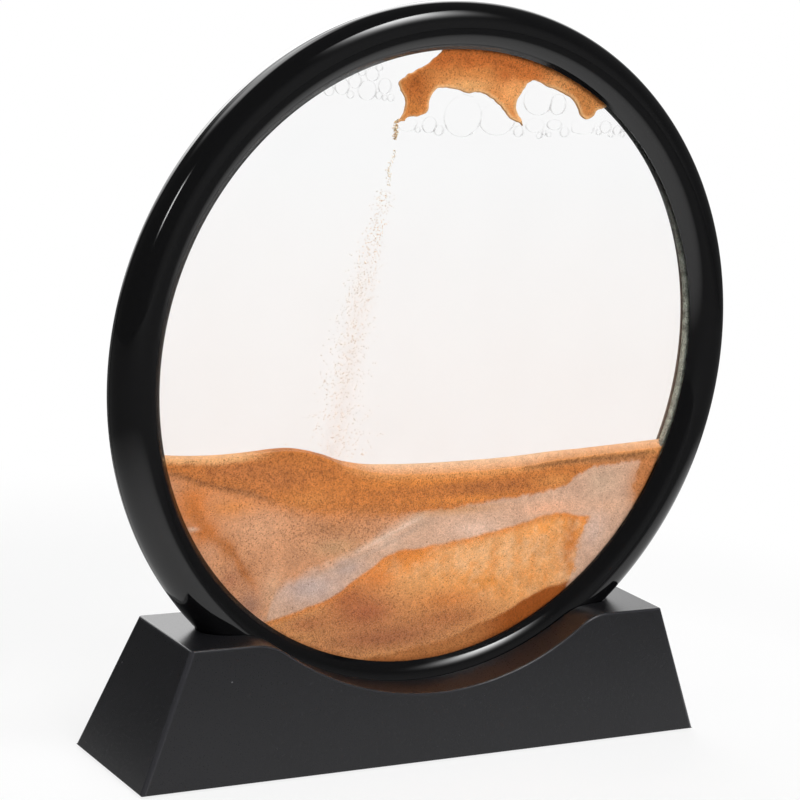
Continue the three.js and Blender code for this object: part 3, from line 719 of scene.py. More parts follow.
# Sand bed, blush drift: the tan-pink mass on the left, under the speckled top.
# Quartz sand of mixed orange and white grains, with darker orange veins that slid down the slope.
BLUSH_START, BLUSH_STOP = -74.7, -1.2
BLUSH_GROUND, BLUSH_DULL, BLUSH_VEIN_TINT = "#CD936B", "#B4835F", "#B26A35"
BLUSH_DARK = 0.03
BLUSH_DARK_SPOTS = [(0.16, -22, -42, 20, 5), (0.1, -53, -50, 6, 9)]
BLUSH_VEIN = [(-71, -29), (-64, -37.5), (-59, -42.5), (-54.5, -46), (-50, -51.5), (-45, -59)]
BLUSH_VEIN_WIDTH = 2.4
BLUSH_PATCHES = [
    ("#D58B50", -55, -35, 8, 2.5), ("#D28249", -66, -31.5, 5, 2.5), ("#CC7838", -66, -35, 4.5, 4),
    ("#C67335", -62, -41, 4, 3.2), ("#D5B29A", -65.6, -39.9, 1.8, 0.5), ("#B77646", -55.5, -45.5, 3, 3.2),
    ("#CB926C", -60.5, -46.5, 2.6, 2.6), ("#AF7852", -50, -52, 3.2, 4), ("#AD7454", -54, -53.5, 2.6, 2.6),
    ("#A67961", -48, -60, 4, 3.5), ("#D39D77", -47, -41, 7, 4), ("#BF845A", -25, -41.8, 9, 2.6),
    ("#C2966F", -25, -47, 7, 2.4), ("#BF8A65", -37, -49, 4, 3), ("#CC9E7C", -42, -57, 2.8, 5)]


def blush_bottom(x):
    """The drift lies on the pale vein, and left of it on the cell's wall."""
    return np.maximum(np.where(x < PALE_TOP[0][0], -SAND_RADIUS, pale_line(x)), cell_wall(x))


blush = sand_slab("sand_bed_blush", BLUSH_START, BLUSH_STOP, speckled_low, blush_bottom, rows=48,
                  back_rise=no_rise)
dress(blush, quartz)
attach(blush, "sandscape")
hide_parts("sand_blush")


# Sand bed, speckled top: the upper layer, with a low hill on the left and a pale peach crest.
# Orange quartz sand mixed with black grains, settled last, and piled higher against the rear pane.
SPECKLED_START, SPECKLED_STOP = -76.05, 75.15
BED_TOP = [
    (-78, -21.6), (-70, -22.3), (-60, -22.5), (-50, -22), (-45, -21.6), (-40, -21.6), (-35, -22.4),
    (-30, -23.8), (-25, -25.8), (-20, -27.2), (-10, -28.7), (0, -29.2), (15, -29.1), (30, -28.5),
    (40, -27.3), (50, -26.7), (60, -26.1), (70, -25.5), (78, -25)]
CREST_RISE = [
    (-78, 0.35), (-40, 0.35), (-30, 0.5), (-20, 1.2), (-10, 2), (0, 2.3), (20, 2.4), (30, 2.4), (40, 1.9),
    (60, 1.7), (78, 1.7)]
HILL_STREAK = [(-75, -25), (-65, -28.2), (-58, -30.2), (-50, -31.8), (-42, -35)]
CREST_STREAK = [(28, -29), (45, -27.9), (60, -27.2), (74, -26.4)]
HILL_X = -37
SPECKLED_GROUND, SPECKLED_DULL, HILL_LIGHT = "#C87B3E", "#98592F", "#E8B07A"
HILL_STREAK_TINT, CREST_STREAK_TINT = "#8E5730", "#93623E"
CREST_FRONT, CREST_EDGE, CREST_TOP = "#DA965A", "#E1A06D", "#EDC49E"
SPECKLED_DARK = 0.12
SPECKLED_DARK_SPOTS = [(0.12, -46, -27, 18, 5), (0.15, 15, -33.4, 24, 1.6), (0.1, -20, -36.5, 16, 2)]
SPECKLED_PATCHES = [
    ("#BA7342", -54, -26, 12, 2.5), ("#BF7743", -44, -29, 10, 3.5), ("#CE8548", -33, -34.5, 8, 2.5),
    ("#DC8A42", 0, -30.8, 18, 1.6), ("#B8713D", 20, -33.4, 16, 1.8), ("#C17A42", -16, -37.5, 12, 1.6),
    ("#D08A4C", 41, -33, 6, 2), ("#B67E52", 60, -27.8, 14, 1.4), ("#D78843", 15, -36.6, 14, 0.8)]
bed_top = smooth_line(BED_TOP)
crest_rise = smooth_line(CREST_RISE)


def speckled_bottom(x):
    """The layer's lower edge, or the cell's wall at its ends."""
    return np.maximum(speckled_low(x), cell_wall(x))


top = sand_slab("sand_bed_speckled", SPECKLED_START, SPECKLED_STOP, bed_top, speckled_bottom, rows=28,
                back_rise=crest_rise)
dress(top, quartz)
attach(top, "sandscape")
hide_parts("sand_speckled")


# Colours of the bed: where two layers meet, their grains have run into each other, so each layer's
# colour is laid over the one below along a soft and uneven line, across all four slabs. Drifts are
# rows of a strength, a width, a height and a seed.
DRIFT_CELLS = 64
STREAK_SPREAD, STREAK_FADE = 0.75, 5
WANDER = [(0.7, 5, 5, 1), (0.45, 1.5, 1.5, 2)]
RAGGED = [(0.9, 2.4, 2.4, 11), (0.7, 0.9, 0.9, 12)]
MOTTLE = [(0.35, 1.5, 6, 3), (0.7, 2.6, 3, 4), (0.6, 1.2, 1.2, 9)]
FRAY = [(0.4, 0.7, 0.9, 8)]


def ease(value, start, end):
    """0 before start, 1 after end and smooth between them."""
    t = np.clip((value - start) / (end - start), 0, 1)
    return t * t * (3 - 2 * t)


def spot(x, z, centre_x, centre_z, spread_x, spread_z):
    """A soft round share, 1 at the centre, that fades over the spreads."""
    return np.exp(-((x - centre_x) / spread_x) ** 2 - ((z - centre_z) / spread_z) ** 2)


def streak(x, z, line):
    """A soft share along a line of points, that fades out at both of its ends."""
    xs, zs = np.array(line, float).T
    fade = ease(x, xs[0], xs[0] + STREAK_FADE) * ease(x, xs[-1], xs[-1] - STREAK_FADE)
    return fade * np.exp(-((z - np.interp(x, xs, zs)) / STREAK_SPREAD) ** 2)


def drifts(x, z, rows):
    """Soft random drifts, each between its strength and the same below 0, laid over each other."""
    total = 0
    for strength, wide, high, seed in rows:
        cells = np.random.default_rng(seed).uniform(-1, 1, (DRIFT_CELLS, DRIFT_CELLS))
        i, j = np.floor(x / wide).astype(int), np.floor(z / high).astype(int)
        s, t = ease(x / wide - i, 0, 1), ease(z / high - j, 0, 1)
        i, j, i_next, j_next = (part % DRIFT_CELLS for part in (i, j, i + 1, j + 1))
        total = total + strength * ((1 - s) * ((1 - t) * cells[i, j] + t * cells[i, j_next])
                                    + s * ((1 - t) * cells[i_next, j] + t * cells[i_next, j_next]))
    return total


def mix_in(tint, colour, share):
    """Lay a hex colour, or other tints, over tints by a share for each point."""
    over = np.array(linear(colour)[:3]) if isinstance(colour, str) else colour
    return tint + (over - tint) * np.clip(share, 0, 1)[:, None]


def patchwork(x, z, ground, patches):
    """A layer's tints: its ground colour with soft patches of others laid over it."""
    tint = np.tile(linear(ground)[:3], (len(x), 1))
    for colour, *place in patches:
        tint = mix_in(tint, colour, spot(x, z, *place))
    return tint


def speckle(x, z, ground, spots):
    """A layer's share of dark grains: the same all over, and more in soft spots."""
    return ground + sum(share * spot(x, z, *place) for share, *place in spots)


def colour_sand(piece, tint, dark_grains):
    """Store the sand's own colour and its share of dark grains on the mesh's points."""
    colours = piece.data.attributes.new("tint", "FLOAT_COLOR", "POINT")
    colours.data.foreach_set("color", np.hstack([tint, np.ones((len(tint), 1))]).ravel())
    share = piece.data.attributes.new("dark_grains", "FLOAT", "POINT")
    share.data.foreach_set("value", np.clip(dark_grains, 0, 1))


dune_end = smooth_line(DUNE_END)
dune_foot = smooth_line(DUNE_FOOT)
for slab in (dune, pale, blush, top):
    x, _, z = np.array([vertex.co - ring_centre for vertex in slab.data.vertices]).T / MM
    wander, ragged, mottle = (drifts(x, z, rows) for rows in (WANDER, RAGGED, MOTTLE))
    wall_gap = SAND_RADIUS - np.hypot(x, z)

    # The blush drift: dull mottling, and one orange vein that slid down its slope.
    tint = patchwork(x, z, BLUSH_GROUND, BLUSH_PATCHES)
    tint = mix_in(tint, BLUSH_DULL, 0.16 * (mottle + 0.4))
    slide = streak(x + 0.6 * wander, (z + 0.5 * wander) / BLUSH_VEIN_WIDTH,
                   np.array(BLUSH_VEIN) / (1, BLUSH_VEIN_WIDTH))
    tint = mix_in(tint, BLUSH_VEIN_TINT, 0.7 * slide)
    dark = speckle(x, z, BLUSH_DARK, BLUSH_DARK_SPOTS)

    # The pale drift under it: a light streak with its shade, and an orange rim along the right wall.
    vein = patchwork(x, z, PALE_GROUND, PALE_PATCHES)
    vein = mix_in(vein, STREAK_LIGHT, 0.6 * streak(x, z, STREAK))
    vein = mix_in(vein, STREAK_SHADE, 0.6 * streak(x, z + STREAK_SHADE_DROP, STREAK))
    vein = mix_in(vein, PALE_DULL, 0.14 * (mottle + 0.3))
    rim_width = PALE_RIM_FOOT + (PALE_RIM_HEAD - PALE_RIM_FOOT) * ease(z, -52, -30)
    rim = ease(rim_width - wall_gap + 0.8 * ragged, -0.9, 0.9) * ease(x, 55, 62)
    vein = mix_in(vein, PALE_RIM, 0.9 * rim)
    share = ease(pale_line(x) + wander - z, -1.9, 1.9)
    tint = mix_in(tint, vein, share)
    dark = dark + (PALE_DARK + PALE_RIM_DARK * rim - dark) * share

    # The dune: bright drifts in its upper part, a deeper ridge, a dark foot, and painted shade along the
    # wall.
    heap = patchwork(x, z, DUNE_GROUND, DUNE_PATCHES)
    bright = ease(z + 0.25 * x, -60, -54)
    heap = mix_in(heap, DUNE_ORANGE, 0.55 * mottle * bright)
    heap = mix_in(heap, DUNE_PALE, -0.5 * mottle * bright)
    heap = mix_in(heap, DUNE_RIDGE, 0.55 * ease(dune_top(x) - z, 2.4, 0.5))
    foot = ease(dune_foot(x) + 0.5 * wander - z, -0.3, 0.7)
    heap = mix_in(heap, DUNE_FOOT_TINT, foot * (0.55 + 0.45 * ease(x, 16, 32)))
    # Painted shade: a narrow darker band next to the cell's lower wall, where the ring's lip shades the
    # sand.
    heap = mix_in(heap, DUNE_WALL_PAINTED_SHADE, 0.5 * ease(wall_gap, 1.8, 0.3) * ease(z, -60, -70))
    share = (ease(dune_top(x) + 0.45 * wander - z, -0.5, 0.5)
             * ease(dune_end(z) + 1.1 * ragged - x, -0.8, 0.8))
    tint = mix_in(tint, heap, share)
    dark = dark + (DUNE_DARK + DUNE_DEEP_DARK * ease(z + 0.25 * x, -56, -66) - dark) * share

    # The speckled top: dark streaks, a light edge on the hill, and a crest that pales to the rear.
    crust = patchwork(x, z, SPECKLED_GROUND, SPECKLED_PATCHES)
    crust = mix_in(crust, SPECKLED_DULL, 0.3 * mottle)
    crust = mix_in(crust, HILL_STREAK_TINT, 0.75 * streak(x, z, HILL_STREAK))
    depth = bed_top(x) + 0.4 * wander - z
    crest = ease(x, -30, -16)
    crust = mix_in(crust, CREST_FRONT, ease(depth, 2.6, 0.3) * crest)
    crust = mix_in(crust, CREST_STREAK_TINT, 0.7 * streak(x, z, CREST_STREAK))
    crust = mix_in(crust, CREST_EDGE, ease(depth, 0.5, -0.6) * crest)
    crust = mix_in(crust, CREST_TOP, ease(depth, -0.6, -2.2) * crest)
    crust = mix_in(crust, HILL_LIGHT, ease(depth, 2.2, 0.1) * ease(x, -42, -56))
    soft = 0.6 + 2.2 * ease(x, 0, -16)
    share = ease(z - speckled_low(x) - 0.35 * wander - drifts(x, z, FRAY), -soft, soft)
    tint = mix_in(tint, crust, share)
    grainy = (speckle(x, z, SPECKLED_DARK, SPECKLED_DARK_SPOTS)
              + 0.2 * streak(x, z, HILL_STREAK) + 0.25 * streak(x, z, CREST_STREAK))
    clean_crest = ease(depth, 1, -0.2) * ease(abs(x - HILL_X), 8, 18)
    dark = dark + (grainy * (1 - 0.95 * clean_crest) - dark) * share
    colour_sand(slab, tint, dark)


# Hanging clump: the wet sand that still clings under the top of the cell, held by the air bubbles.
# The same dyed quartz sand, packed against the gasket, with its lower edge drawn down in drips.
CLUMP_EDGE = [
    (-7.6, 77.5), (-10.4, 75.2), (-14.5, 72.7), (-17.6, 70.8), (-19, 69.2), (-18.4, 67.6), (-17, 65.6),
    (-16.8, 63.5), (-17.4, 61), (-18.2, 59.4), (-15.6, 60.9), (-10.6, 62.5), (-10, 65.8), (-8.8, 67.8),
    (-6.8, 68.6), (-3, 68.4), (1.2, 67.6), (4.2, 67.9), (7.4, 66.9), (10.4, 65.3), (12.6, 63.4),
    (14.6, 61.7), (17.6, 60.6), (18.6, 59.4), (17.6, 61.4), (16, 63.4), (15.6, 65.5), (16.6, 67.6),
    (18.4, 70.4), (20.4, 71.4), (22.4, 71.1), (24.6, 70), (28.6, 69), (32.6, 67.3), (34.6, 65.3),
    (35.8, 63.2), (37.6, 62.1), (39.4, 62.8), (41, 64.6), (43.6, 65.4)]
CLUMP_VOXEL = 0.22 * MM
CLUMP_FACE = 1.02 * MM
CLUMP_SLANT = (0.95 * MM, -0.35 * MM)
CLUMP_FRAY, FRAY_SEEDS = 0.8, (21, 22)
FRAY_DEPTH, DRIP_FRAY_DEPTH = 0.16, 0.36
CLUMP_WANDER = [(0.7, 4, 3, 5), (0.4, 1.4, 1.4, 6)]
EDGE_STEPS, ROOF_STEPS = 6, 24
CLUMP_GROUND, CLUMP_SIDE_PAINTED_LIGHT = "#CF8548", "#FFC284"
CLUMP_ROOF_SHADE, CLUMP_DEEP_ROOF_SHADE = "#CA763A", "#C87034"
CLUMP_LIGHT_EDGE, DRIP_LIGHT_EDGE = "#E4B07A", "#E0AE78"
CLUMP_DARK, CLUMP_ROOF_DARK = 0.06, 0.12
CLUMP_DARK_SPOTS = [(0.16, -14, 68, 6, 7)]
CLUMP_PATCHES = [
    ("#DFA468", 1, 69.4, 7, 1.6), ("#E8A263", 14, 68, 4, 4), ("#B0632B", -14.5, 69, 4.5, 6),
    ("#C47A3C", -14.5, 63.4, 3, 1.8), ("#C06C34", 11.5, 72.5, 3, 2), ("#E8A263", 25, 70.5, 6, 2),
    ("#DC9352", 38.5, 66, 3, 2)]


def rounded_edge(points, steps):
    """A smooth line through points, with each span in steps."""
    points = np.array(points, float)
    ends = np.vstack([2 * points[0] - points[1], points, 2 * points[-1] - points[-2]])
    line = []
    for a, b, c, d in zip(ends, ends[1:], ends[2:], ends[3:]):
        for t in np.arange(steps) / steps:
            line.append(b + 0.5 * t * (c - a + t * (2 * a - 5 * b + 4 * c - d + t * (3 * (b - c) + d - a))))
    return np.array(line + [points[-1]])


clump_edge = rounded_edge(CLUMP_EDGE, EDGE_STEPS)
edge_x, edge_z = clump_edge.T
fray = FRAY_DEPTH + (DRIP_FRAY_DEPTH - FRAY_DEPTH) * ease(edge_x, -9, -12)
clump_edge = clump_edge + np.stack([
    fray * drifts(edge_x, edge_z, [(1, CLUMP_FRAY, CLUMP_FRAY, seed)]) for seed in FRAY_SEEDS], 1)
first_turn, last_turn = (math.degrees(math.atan2(z, x)) for x, z in (CLUMP_EDGE[0], CLUMP_EDGE[-1]))
roof = arc(0, 0, SAND_RADIUS, last_turn, first_turn, ROOF_STEPS)
clump_outline = [(x * MM, -CLUMP_FACE, z * MM + ring_centre.z) for x, z in [*clump_edge, *roof]]
clump = outlined("sand_clump_hanging", clump_outline, "NGON")
bpy.ops.object.mode_set(mode="EDIT")
bpy.ops.mesh.select_all(action="SELECT")
bpy.ops.mesh.extrude_region_move(TRANSFORM_OT_translate={"value": (0, 2 * CLUMP_FACE, 0)})
bpy.ops.object.mode_set(mode="OBJECT")
for vertex in clump.data.vertices:
    if vertex.co.y > 0:
        flat = Vector((vertex.co.x + CLUMP_SLANT[0], vertex.co.z + CLUMP_SLANT[1] - ring_centre.z))
        flat *= min(1, SAND_RADIUS * MM / flat.length)
        vertex.co.x, vertex.co.z = flat.x, flat.y + ring_centre.z
close_and_smooth(clump, angle=30)
apply_modifier(clump, "REMESH", mode="VOXEL", voxel_size=CLUMP_VOXEL)
apply_modifier(clump, "SMOOTH", factor=0.3, iterations=1)
close_and_smooth(clump, angle=35)
x, _, z = np.array([vertex.co - ring_centre for vertex in clump.data.vertices]).T / MM
inside = np.min(np.hypot(x[:, None] - clump_edge[:, 0], z[:, None] - clump_edge[:, 1]), 1)
under_roof = np.hypot(x, z) + drifts(x, z, CLUMP_WANDER)
tint = patchwork(x, z, CLUMP_GROUND, CLUMP_PATCHES)
# Painted shade: towards the roof, under the ring's lip, the tints darken and the dark grains thicken.
tint = mix_in(tint, CLUMP_ROOF_SHADE, ease(under_roof, 72.6, 74.6) * ease(x, 30, 18))
tint = mix_in(tint, CLUMP_DEEP_ROOF_SHADE, ease(under_roof, 74.4, 76) * ease(x, 26, 10))
tint = mix_in(tint, CLUMP_LIGHT_EDGE, ease(inside, 1.1, 0.2) * ease(z, 72, 69.5) * ease(x, -13, -9))
tint = mix_in(tint, DRIP_LIGHT_EDGE, 0.6 * ease(inside, 0.7, 0.1) * ease(x, -9, -13))
dark = speckle(x, z, CLUMP_DARK, CLUMP_DARK_SPOTS) + CLUMP_ROOF_DARK * ease(under_roof, 73.5, 75.5)
# Painted light: the side faces, which the lamps hardly reach, are laid a light orange to lift their shade.
aside = 1 - np.abs([vertex.normal.y for vertex in clump.data.vertices])
tint = mix_in(tint, CLUMP_SIDE_PAINTED_LIGHT, 0.9 * ease(aside, 0.12, 0.7))
colour_sand(clump, tint, dark * ease(inside, 0.2, 1.4))
dress(clump, quartz)
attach(clump, "sandscape")
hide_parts("sand_clump")


# Falling sand: the thread of grains that runs from the clump's left drip and loosens on its way down.
# Single quartz grains, each a small faceted stone between the panes. A path is rows of a height, a
# middle and a width in mm, and a fall is a path, a count, two sizes and two tints.
GRAIN_SEED = 7
GRAIN_SHAPE = np.array([1.25, 0.8, 1])
GRAIN_DEPTH = 0.7
GRAIN_SCATTER = 0.5
THREAD = [(60.4, -18, 0.35), (58.6, -18.5, 0.45), (57, -18.2, 0.5), (55.4, -18.3, 0.25)]
WISPS = [(53, -18.2, 0.3), (51, -18, 0.5), (49.6, -18.6, 0.9), (48.4, -19.4, 0.7), (46, -18.8, 0.8),
         (44, -18.7, 0.7)]
PUFF = [(43, -19.4, 2), (41, -20.4, 2.8), (38, -20.8, 3), (34, -20.6, 2.6)]
STREAM = [(34, -21.4, 3), (27, -22.8, 4.6), (16, -24, 5), (8, -25.2, 6), (-4, -26.4, 7.5), (-14, -26, 9),
          (-24, -24, 13)]
FALLS = [(THREAD, 140, 0.12, 0.19, "#F4D0A6", "#E4B586"), (WISPS, 70, 0.11, 0.16, "#FCDFC2", "#F0C8A0"),
         (PUFF, 120, 0.1, 0.14, "#FFDCC2", "#F6C29C"), (STREAM, 900, 0.1, 0.15, "#FFE2CC", "#F9C9A8")]
draw = random.Random(GRAIN_SEED)
bpy.ops.object.select_all(action="DESELECT")
bpy.ops.mesh.primitive_ico_sphere_add(subdivisions=1, radius=1)
stone = bpy.context.object
stone_points = np.array([vertex.co for vertex in stone.data.vertices]) * GRAIN_SHAPE
stone_faces = np.array([list(face.vertices) for face in stone.data.polygons])
bpy.data.meshes.remove(stone.data)
grain_points, grain_faces, grain_tints = [], [], []
for path, count, small, large, pale_grain, deep_grain in FALLS:
    heights, middles, widths = (np.array(part)[::-1] for part in zip(*path))
    for _ in range(count):
        z = heights[0] + (heights[-1] - heights[0]) * draw.random()
        x = np.interp(z, heights, middles) + draw.gauss(0, GRAIN_SCATTER) * np.interp(z, heights, widths)
        size = small + (large - small) * draw.random()
        centre = np.array([x, draw.uniform(-GRAIN_DEPTH, GRAIN_DEPTH), z])
        spin_axis = Vector((draw.random(), draw.random(), 1)).normalized()
        turn = np.array(Matrix.Rotation(draw.uniform(0, 2 * math.pi), 3, spin_axis))
        grain_faces.append(stone_faces + len(stone_points) * len(grain_points))
        grain_points.append((stone_points * size @ turn + centre) * MM + np.array(ring_centre))
        deep_share = np.array([draw.random()])
        grain_tints.append(mix_in(np.array([linear(pale_grain)[:3]]), deep_grain, deep_share)[0])
grains_mesh = bpy.data.meshes.new("falling_sand")
grains_mesh.from_pydata(np.vstack(grain_points).tolist(), [], np.vstack(grain_faces).tolist())
falling = bpy.data.objects.new("falling_sand", grains_mesh)
bpy.context.collection.objects.link(falling)
tint = np.repeat(grain_tints, len(stone_points), axis=0)
colour_sand(falling, tint, np.zeros(len(tint)))

# Single wet grains: pale quartz that the light behind shines into, so each is a soft peach dot.
GRAIN_CLOUD = 0.15 * MM
wet_quartz, tree, place = bare_material("quartz_grain_wet")
own_tint = add_node(tree, "ShaderNodeAttribute", {}, attribute_name="tint")
cloud = add_node(tree, "ShaderNodeTexNoise", {"Vector": place, "Scale": 1 / GRAIN_CLOUD, "Detail": 1.0})
level = add_node(tree, "ShaderNodeMapRange", {"Value": cloud.outputs["Fac"], "To Min": 0.92, "To Max": 1.08})
varied = add_node(tree, "ShaderNodeHueSaturation", {"Value": level.outputs[0],
                                                    "Color": own_tint.outputs["Color"]})
shader = add_node(tree, "ShaderNodeBsdfPrincipled", {
    "Base Color": varied.outputs[0], "Roughness": 0.6, "Specular IOR Level": 0.2, "Subsurface Weight": 1.0,
    "Subsurface Radius": (1.0, 0.9, 0.8), "Subsurface Scale": 0.4 * MM})
add_node(tree, "ShaderNodeOutputMaterial", {"Surface": shader.outputs[0]})
dress(falling, wet_quartz)
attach(falling, "sandscape")


# Air bubbles: the foam left under the top of the cell, pressed flat between the panes.
# Each shows only its rim, where the water curls up to the glass, and two that touch share a flat wall.
# A bubble is its middle, half its width and half its height, in mm.
BUBBLE_RIM = 0.085 * MM
BUBBLE_WALL = 5
BUBBLE_STEPS = 44
BIG_BUBBLE = 2.6
BIG_RIM_SEEN, SMALL_RIM_SEEN = 0.12, 0.45
RIM_FADE_HIGH, RIM_FADE_LOW = 0.25, -0.6
BUBBLES = [
    (-15, 59.1, 2.9, 1.6), (-12, 57.9, 0.7, 0.7), (-8.8, 59.2, 2, 2), (-5.9, 58, 1.3, 1.3),
    (0.7, 61.6, 5.4, 5.1), (11, 61.2, 5.4, 4), (1.4, 65.4, 1.5, 1.2), (17.8, 58.3, 1.4, 1.4),
    (22.6, 60, 2.8, 1.8), (24.2, 57.5, 0.8, 0.8), (25.7, 58.2, 0.6, 0.6), (27.2, 57.8, 0.7, 0.7),
    (28.6, 60.3, 2.2, 1.3), (31.9, 58.6, 1.3, 1.3), (37.6, 60, 4.8, 1.8), (42.6, 58.9, 0.8, 0.8),
    (44.6, 60.2, 1.7, 1.6), (46.6, 58.4, 0.8, 0.8), (48.4, 59.4, 1.2, 1.2), (50.2, 58.4, 0.7, 0.7),
    (50.8, 60, 0.8, 0.8), (23, 66.4, 4.6, 3.8), (29, 65.4, 2.4, 2.6),
    (-38, 66.6, 1.3, 1.3), (-34.5, 67.6, 1.9, 1.9), (-32, 65.8, 0.9, 0.9), (-31, 69, 1.7, 1.6),
    (-27.4, 67, 2.5, 2.4), (-24, 65.9, 0.9, 0.9), (-22.3, 65.4, 0.7, 0.7), (-20.6, 65.5, 0.9, 0.9),
    (-22.6, 68.2, 1.8, 1.9), (-26.4, 70.8, 1.8, 1.6), (-24.6, 72.6, 0.9, 0.9), (-29.4, 71.4, 1, 1)]
turns = np.linspace(0, 2 * math.pi, BUBBLE_STEPS, endpoint=False)
rims = []
for x, z, wide, high in BUBBLES:
    edge = np.stack([x + wide * np.cos(turns), z + high * np.sin(turns)], 1)
    for other_x, other_z, other_wide, other_high in BUBBLES:
        apart = np.array([other_x - x, other_z - z])
        gap = np.hypot(*apart)
        reach, other_reach = (wide * high) ** 0.5, (other_wide * other_high) ** 0.5
        if 0 < gap < wide + other_wide:
            towards = apart / gap
            wall = (gap ** 2 + reach ** 2 - other_reach ** 2) / (2 * gap)
            past = np.maximum((edge - (x, z)) @ towards - wall, 0)
            edge = edge - past[:, None] * towards
    rim = outlined("rim", [(px * MM, 0, pz * MM + ring_centre.z) for px, pz in edge], "NOTHING")
    bpy.ops.object.convert(target="CURVE")
    rim.data.bevel_depth = BUBBLE_RIM
    rim.data.bevel_resolution = 1
    bpy.ops.object.convert(target="MESH")
    rim.data.transform(Matrix.Diagonal((1, BUBBLE_WALL, 1, 1)))
    height = np.array([(vertex.co.z - ring_centre.z) / MM - z for vertex in rim.data.vertices]) / high
    faint = BIG_RIM_SEEN if wide > BIG_BUBBLE else SMALL_RIM_SEEN
    seen = rim.data.attributes.new("rim_seen", "FLOAT", "POINT")
    seen.data.foreach_set("value", faint + (1 - faint) * ease(height, RIM_FADE_HIGH, RIM_FADE_LOW))
    rims.append(rim)
bpy.ops.object.select_all(action="DESELECT")
for rim in rims:
    rim.select_set(True)
bpy.ops.object.join()
bubbles = bpy.context.object
bubbles.name = "air_bubbles"
close_and_smooth(bubbles, angle=60)

# A bubble's rim in water: a thin pale grey line, half seen through, that comes and goes round the bubble.
RIM_BREAK = 1.5 * MM
meniscus, tree, place = bare_material("water_meniscus")
breaks = add_node(tree, "ShaderNodeTexNoise", {"Vector": place, "Scale": 1 / RIM_BREAK, "Detail": 2.0})
broken = add_node(tree, "ShaderNodeMapRange", {"Value": breaks.outputs["Fac"], "From Min": 0.35,
                                               "From Max": 0.65, "To Min": 0.03, "To Max": 0.2})
seen = add_node(tree, "ShaderNodeAttribute", {}, attribute_name="rim_seen")
strength = add_node(tree, "ShaderNodeMath", {0: broken.outputs[0], 1: seen.outputs["Fac"]},
                    operation="MULTIPLY")
clear = add_node(tree, "ShaderNodeBsdfTransparent", {"Color": linear("#FFFFFF")})
film = add_node(tree, "ShaderNodeBsdfPrincipled", {"Base Color": linear("#9A9B98"), "Roughness": 0.2,
                                                   "IOR": 1.33})
shader = add_node(tree, "ShaderNodeMixShader", {0: strength.outputs[0], 1: clear.outputs[0],
                                                2: film.outputs[0]})
add_node(tree, "ShaderNodeOutputMaterial", {"Surface": shader.outputs[0]})
dress(bubbles, meniscus)
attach(bubbles, "sandscape")


# Water fill: the water that the sand sinks through, from the bed up to the row of bubbles.
# Distilled water with a little fine dust in it, which warms and thickens towards the bed. It follows
# the bed's top, which slants up to the rear pane, and soaks a little into it.
WATER_SKIN = 0.05
WATER_SOAK = 0.35
BED_STEPS, WALL_STEPS = 160, 40
water_level = (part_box("water_fill")[1].z - ring_centre.z) / MM
water_radius = SAND_RADIUS - WATER_SKIN
left_turn, right_turn = (math.degrees(math.asin((bed_top(side * water_radius) - WATER_SOAK) / water_radius))
                         for side in (-1, 1))
level_turn = math.degrees(math.asin(water_level / water_radius))
left_end, right_end = (-water_radius * math.cos(math.radians(left_turn)),
                       water_radius * math.cos(math.radians(right_turn)))
bed_x = np.linspace(left_end, right_end, BED_STEPS)
water_outline = list(zip(bed_x, bed_top(bed_x) - WATER_SOAK))
water_outline += arc(0, 0, water_radius, right_turn, level_turn, WALL_STEPS)[1:]
water_outline += arc(0, 0, water_radius, 180 - level_turn, 180 - left_turn, WALL_STEPS)[:-1]
water_face = SAND_FACE - WATER_SKIN * MM
fill = outlined("water", [(x * MM, -water_face, z * MM + ring_centre.z) for x, z in water_outline], "NGON")
bpy.ops.object.mode_set(mode="EDIT")
bpy.ops.mesh.select_all(action="SELECT")
bpy.ops.mesh.extrude_region_move(TRANSFORM_OT_translate={"value": (0, 2 * water_face, 0)})
bpy.ops.object.mode_set(mode="OBJECT")
for vertex in fill.data.vertices:
    x, z = vertex.co.x / MM, (vertex.co.z - ring_centre.z) / MM
    if vertex.co.y > 0 and z < bed_top(x):
        vertex.co.z += crest_rise(x) * MM
close_and_smooth(fill, angle=20)

# Dusty water: clear at the top, with a faint peach veil that gathers lower down and round the
# falling grains.
VEIL_DRIFT = 18 * MM
VEIL_TOP, VEIL_FOOT = ring_centre.z + 50 * MM, ring_centre.z - 26 * MM
VEIL_SHARE = 0.1
TRAIL_CLOUD = 3 * MM
TRAIL_TOP_X, TRAIL_FOOT_X = -21 * MM, -27.5 * MM
TRAIL_TOP, TRAIL_FULL, TRAIL_FOOT = (ring_centre.z + z * MM for z in (42, 15, -24))
TRAIL_REACH = 5.5 * MM
TRAIL_SHARE = 0.12
water, tree, place = bare_material("water_dusty")
part = add_node(tree, "ShaderNodeSeparateXYZ", {0: place})
swirl = add_node(tree, "ShaderNodeTexNoise", {"Vector": place, "Scale": 1 / VEIL_DRIFT, "Detail": 2.0})
puffs = add_node(tree, "ShaderNodeTexNoise", {"Vector": place, "Scale": 1 / TRAIL_CLOUD, "Detail": 4.0})
sinking = add_node(tree, "ShaderNodeMapRange", {"Value": part.outputs["Z"], "From Min": VEIL_TOP,
                                                "From Max": VEIL_FOOT, "To Max": VEIL_SHARE})
wisps = add_node(tree, "ShaderNodeMapRange", {"Value": swirl.outputs["Fac"], "To Min": 0.8, "To Max": 1.2})
veil = add_node(tree, "ShaderNodeMath", {0: sinking.outputs[0], 1: wisps.outputs[0]}, operation="MULTIPLY")
trail_x = add_node(tree, "ShaderNodeMapRange", {
    "Value": part.outputs["Z"], "From Min": TRAIL_TOP, "From Max": TRAIL_FOOT, "To Min": TRAIL_TOP_X,
    "To Max": TRAIL_FOOT_X})
aside = add_node(tree, "ShaderNodeMath", {0: part.outputs["X"], 1: trail_x.outputs[0]}, operation="SUBTRACT")
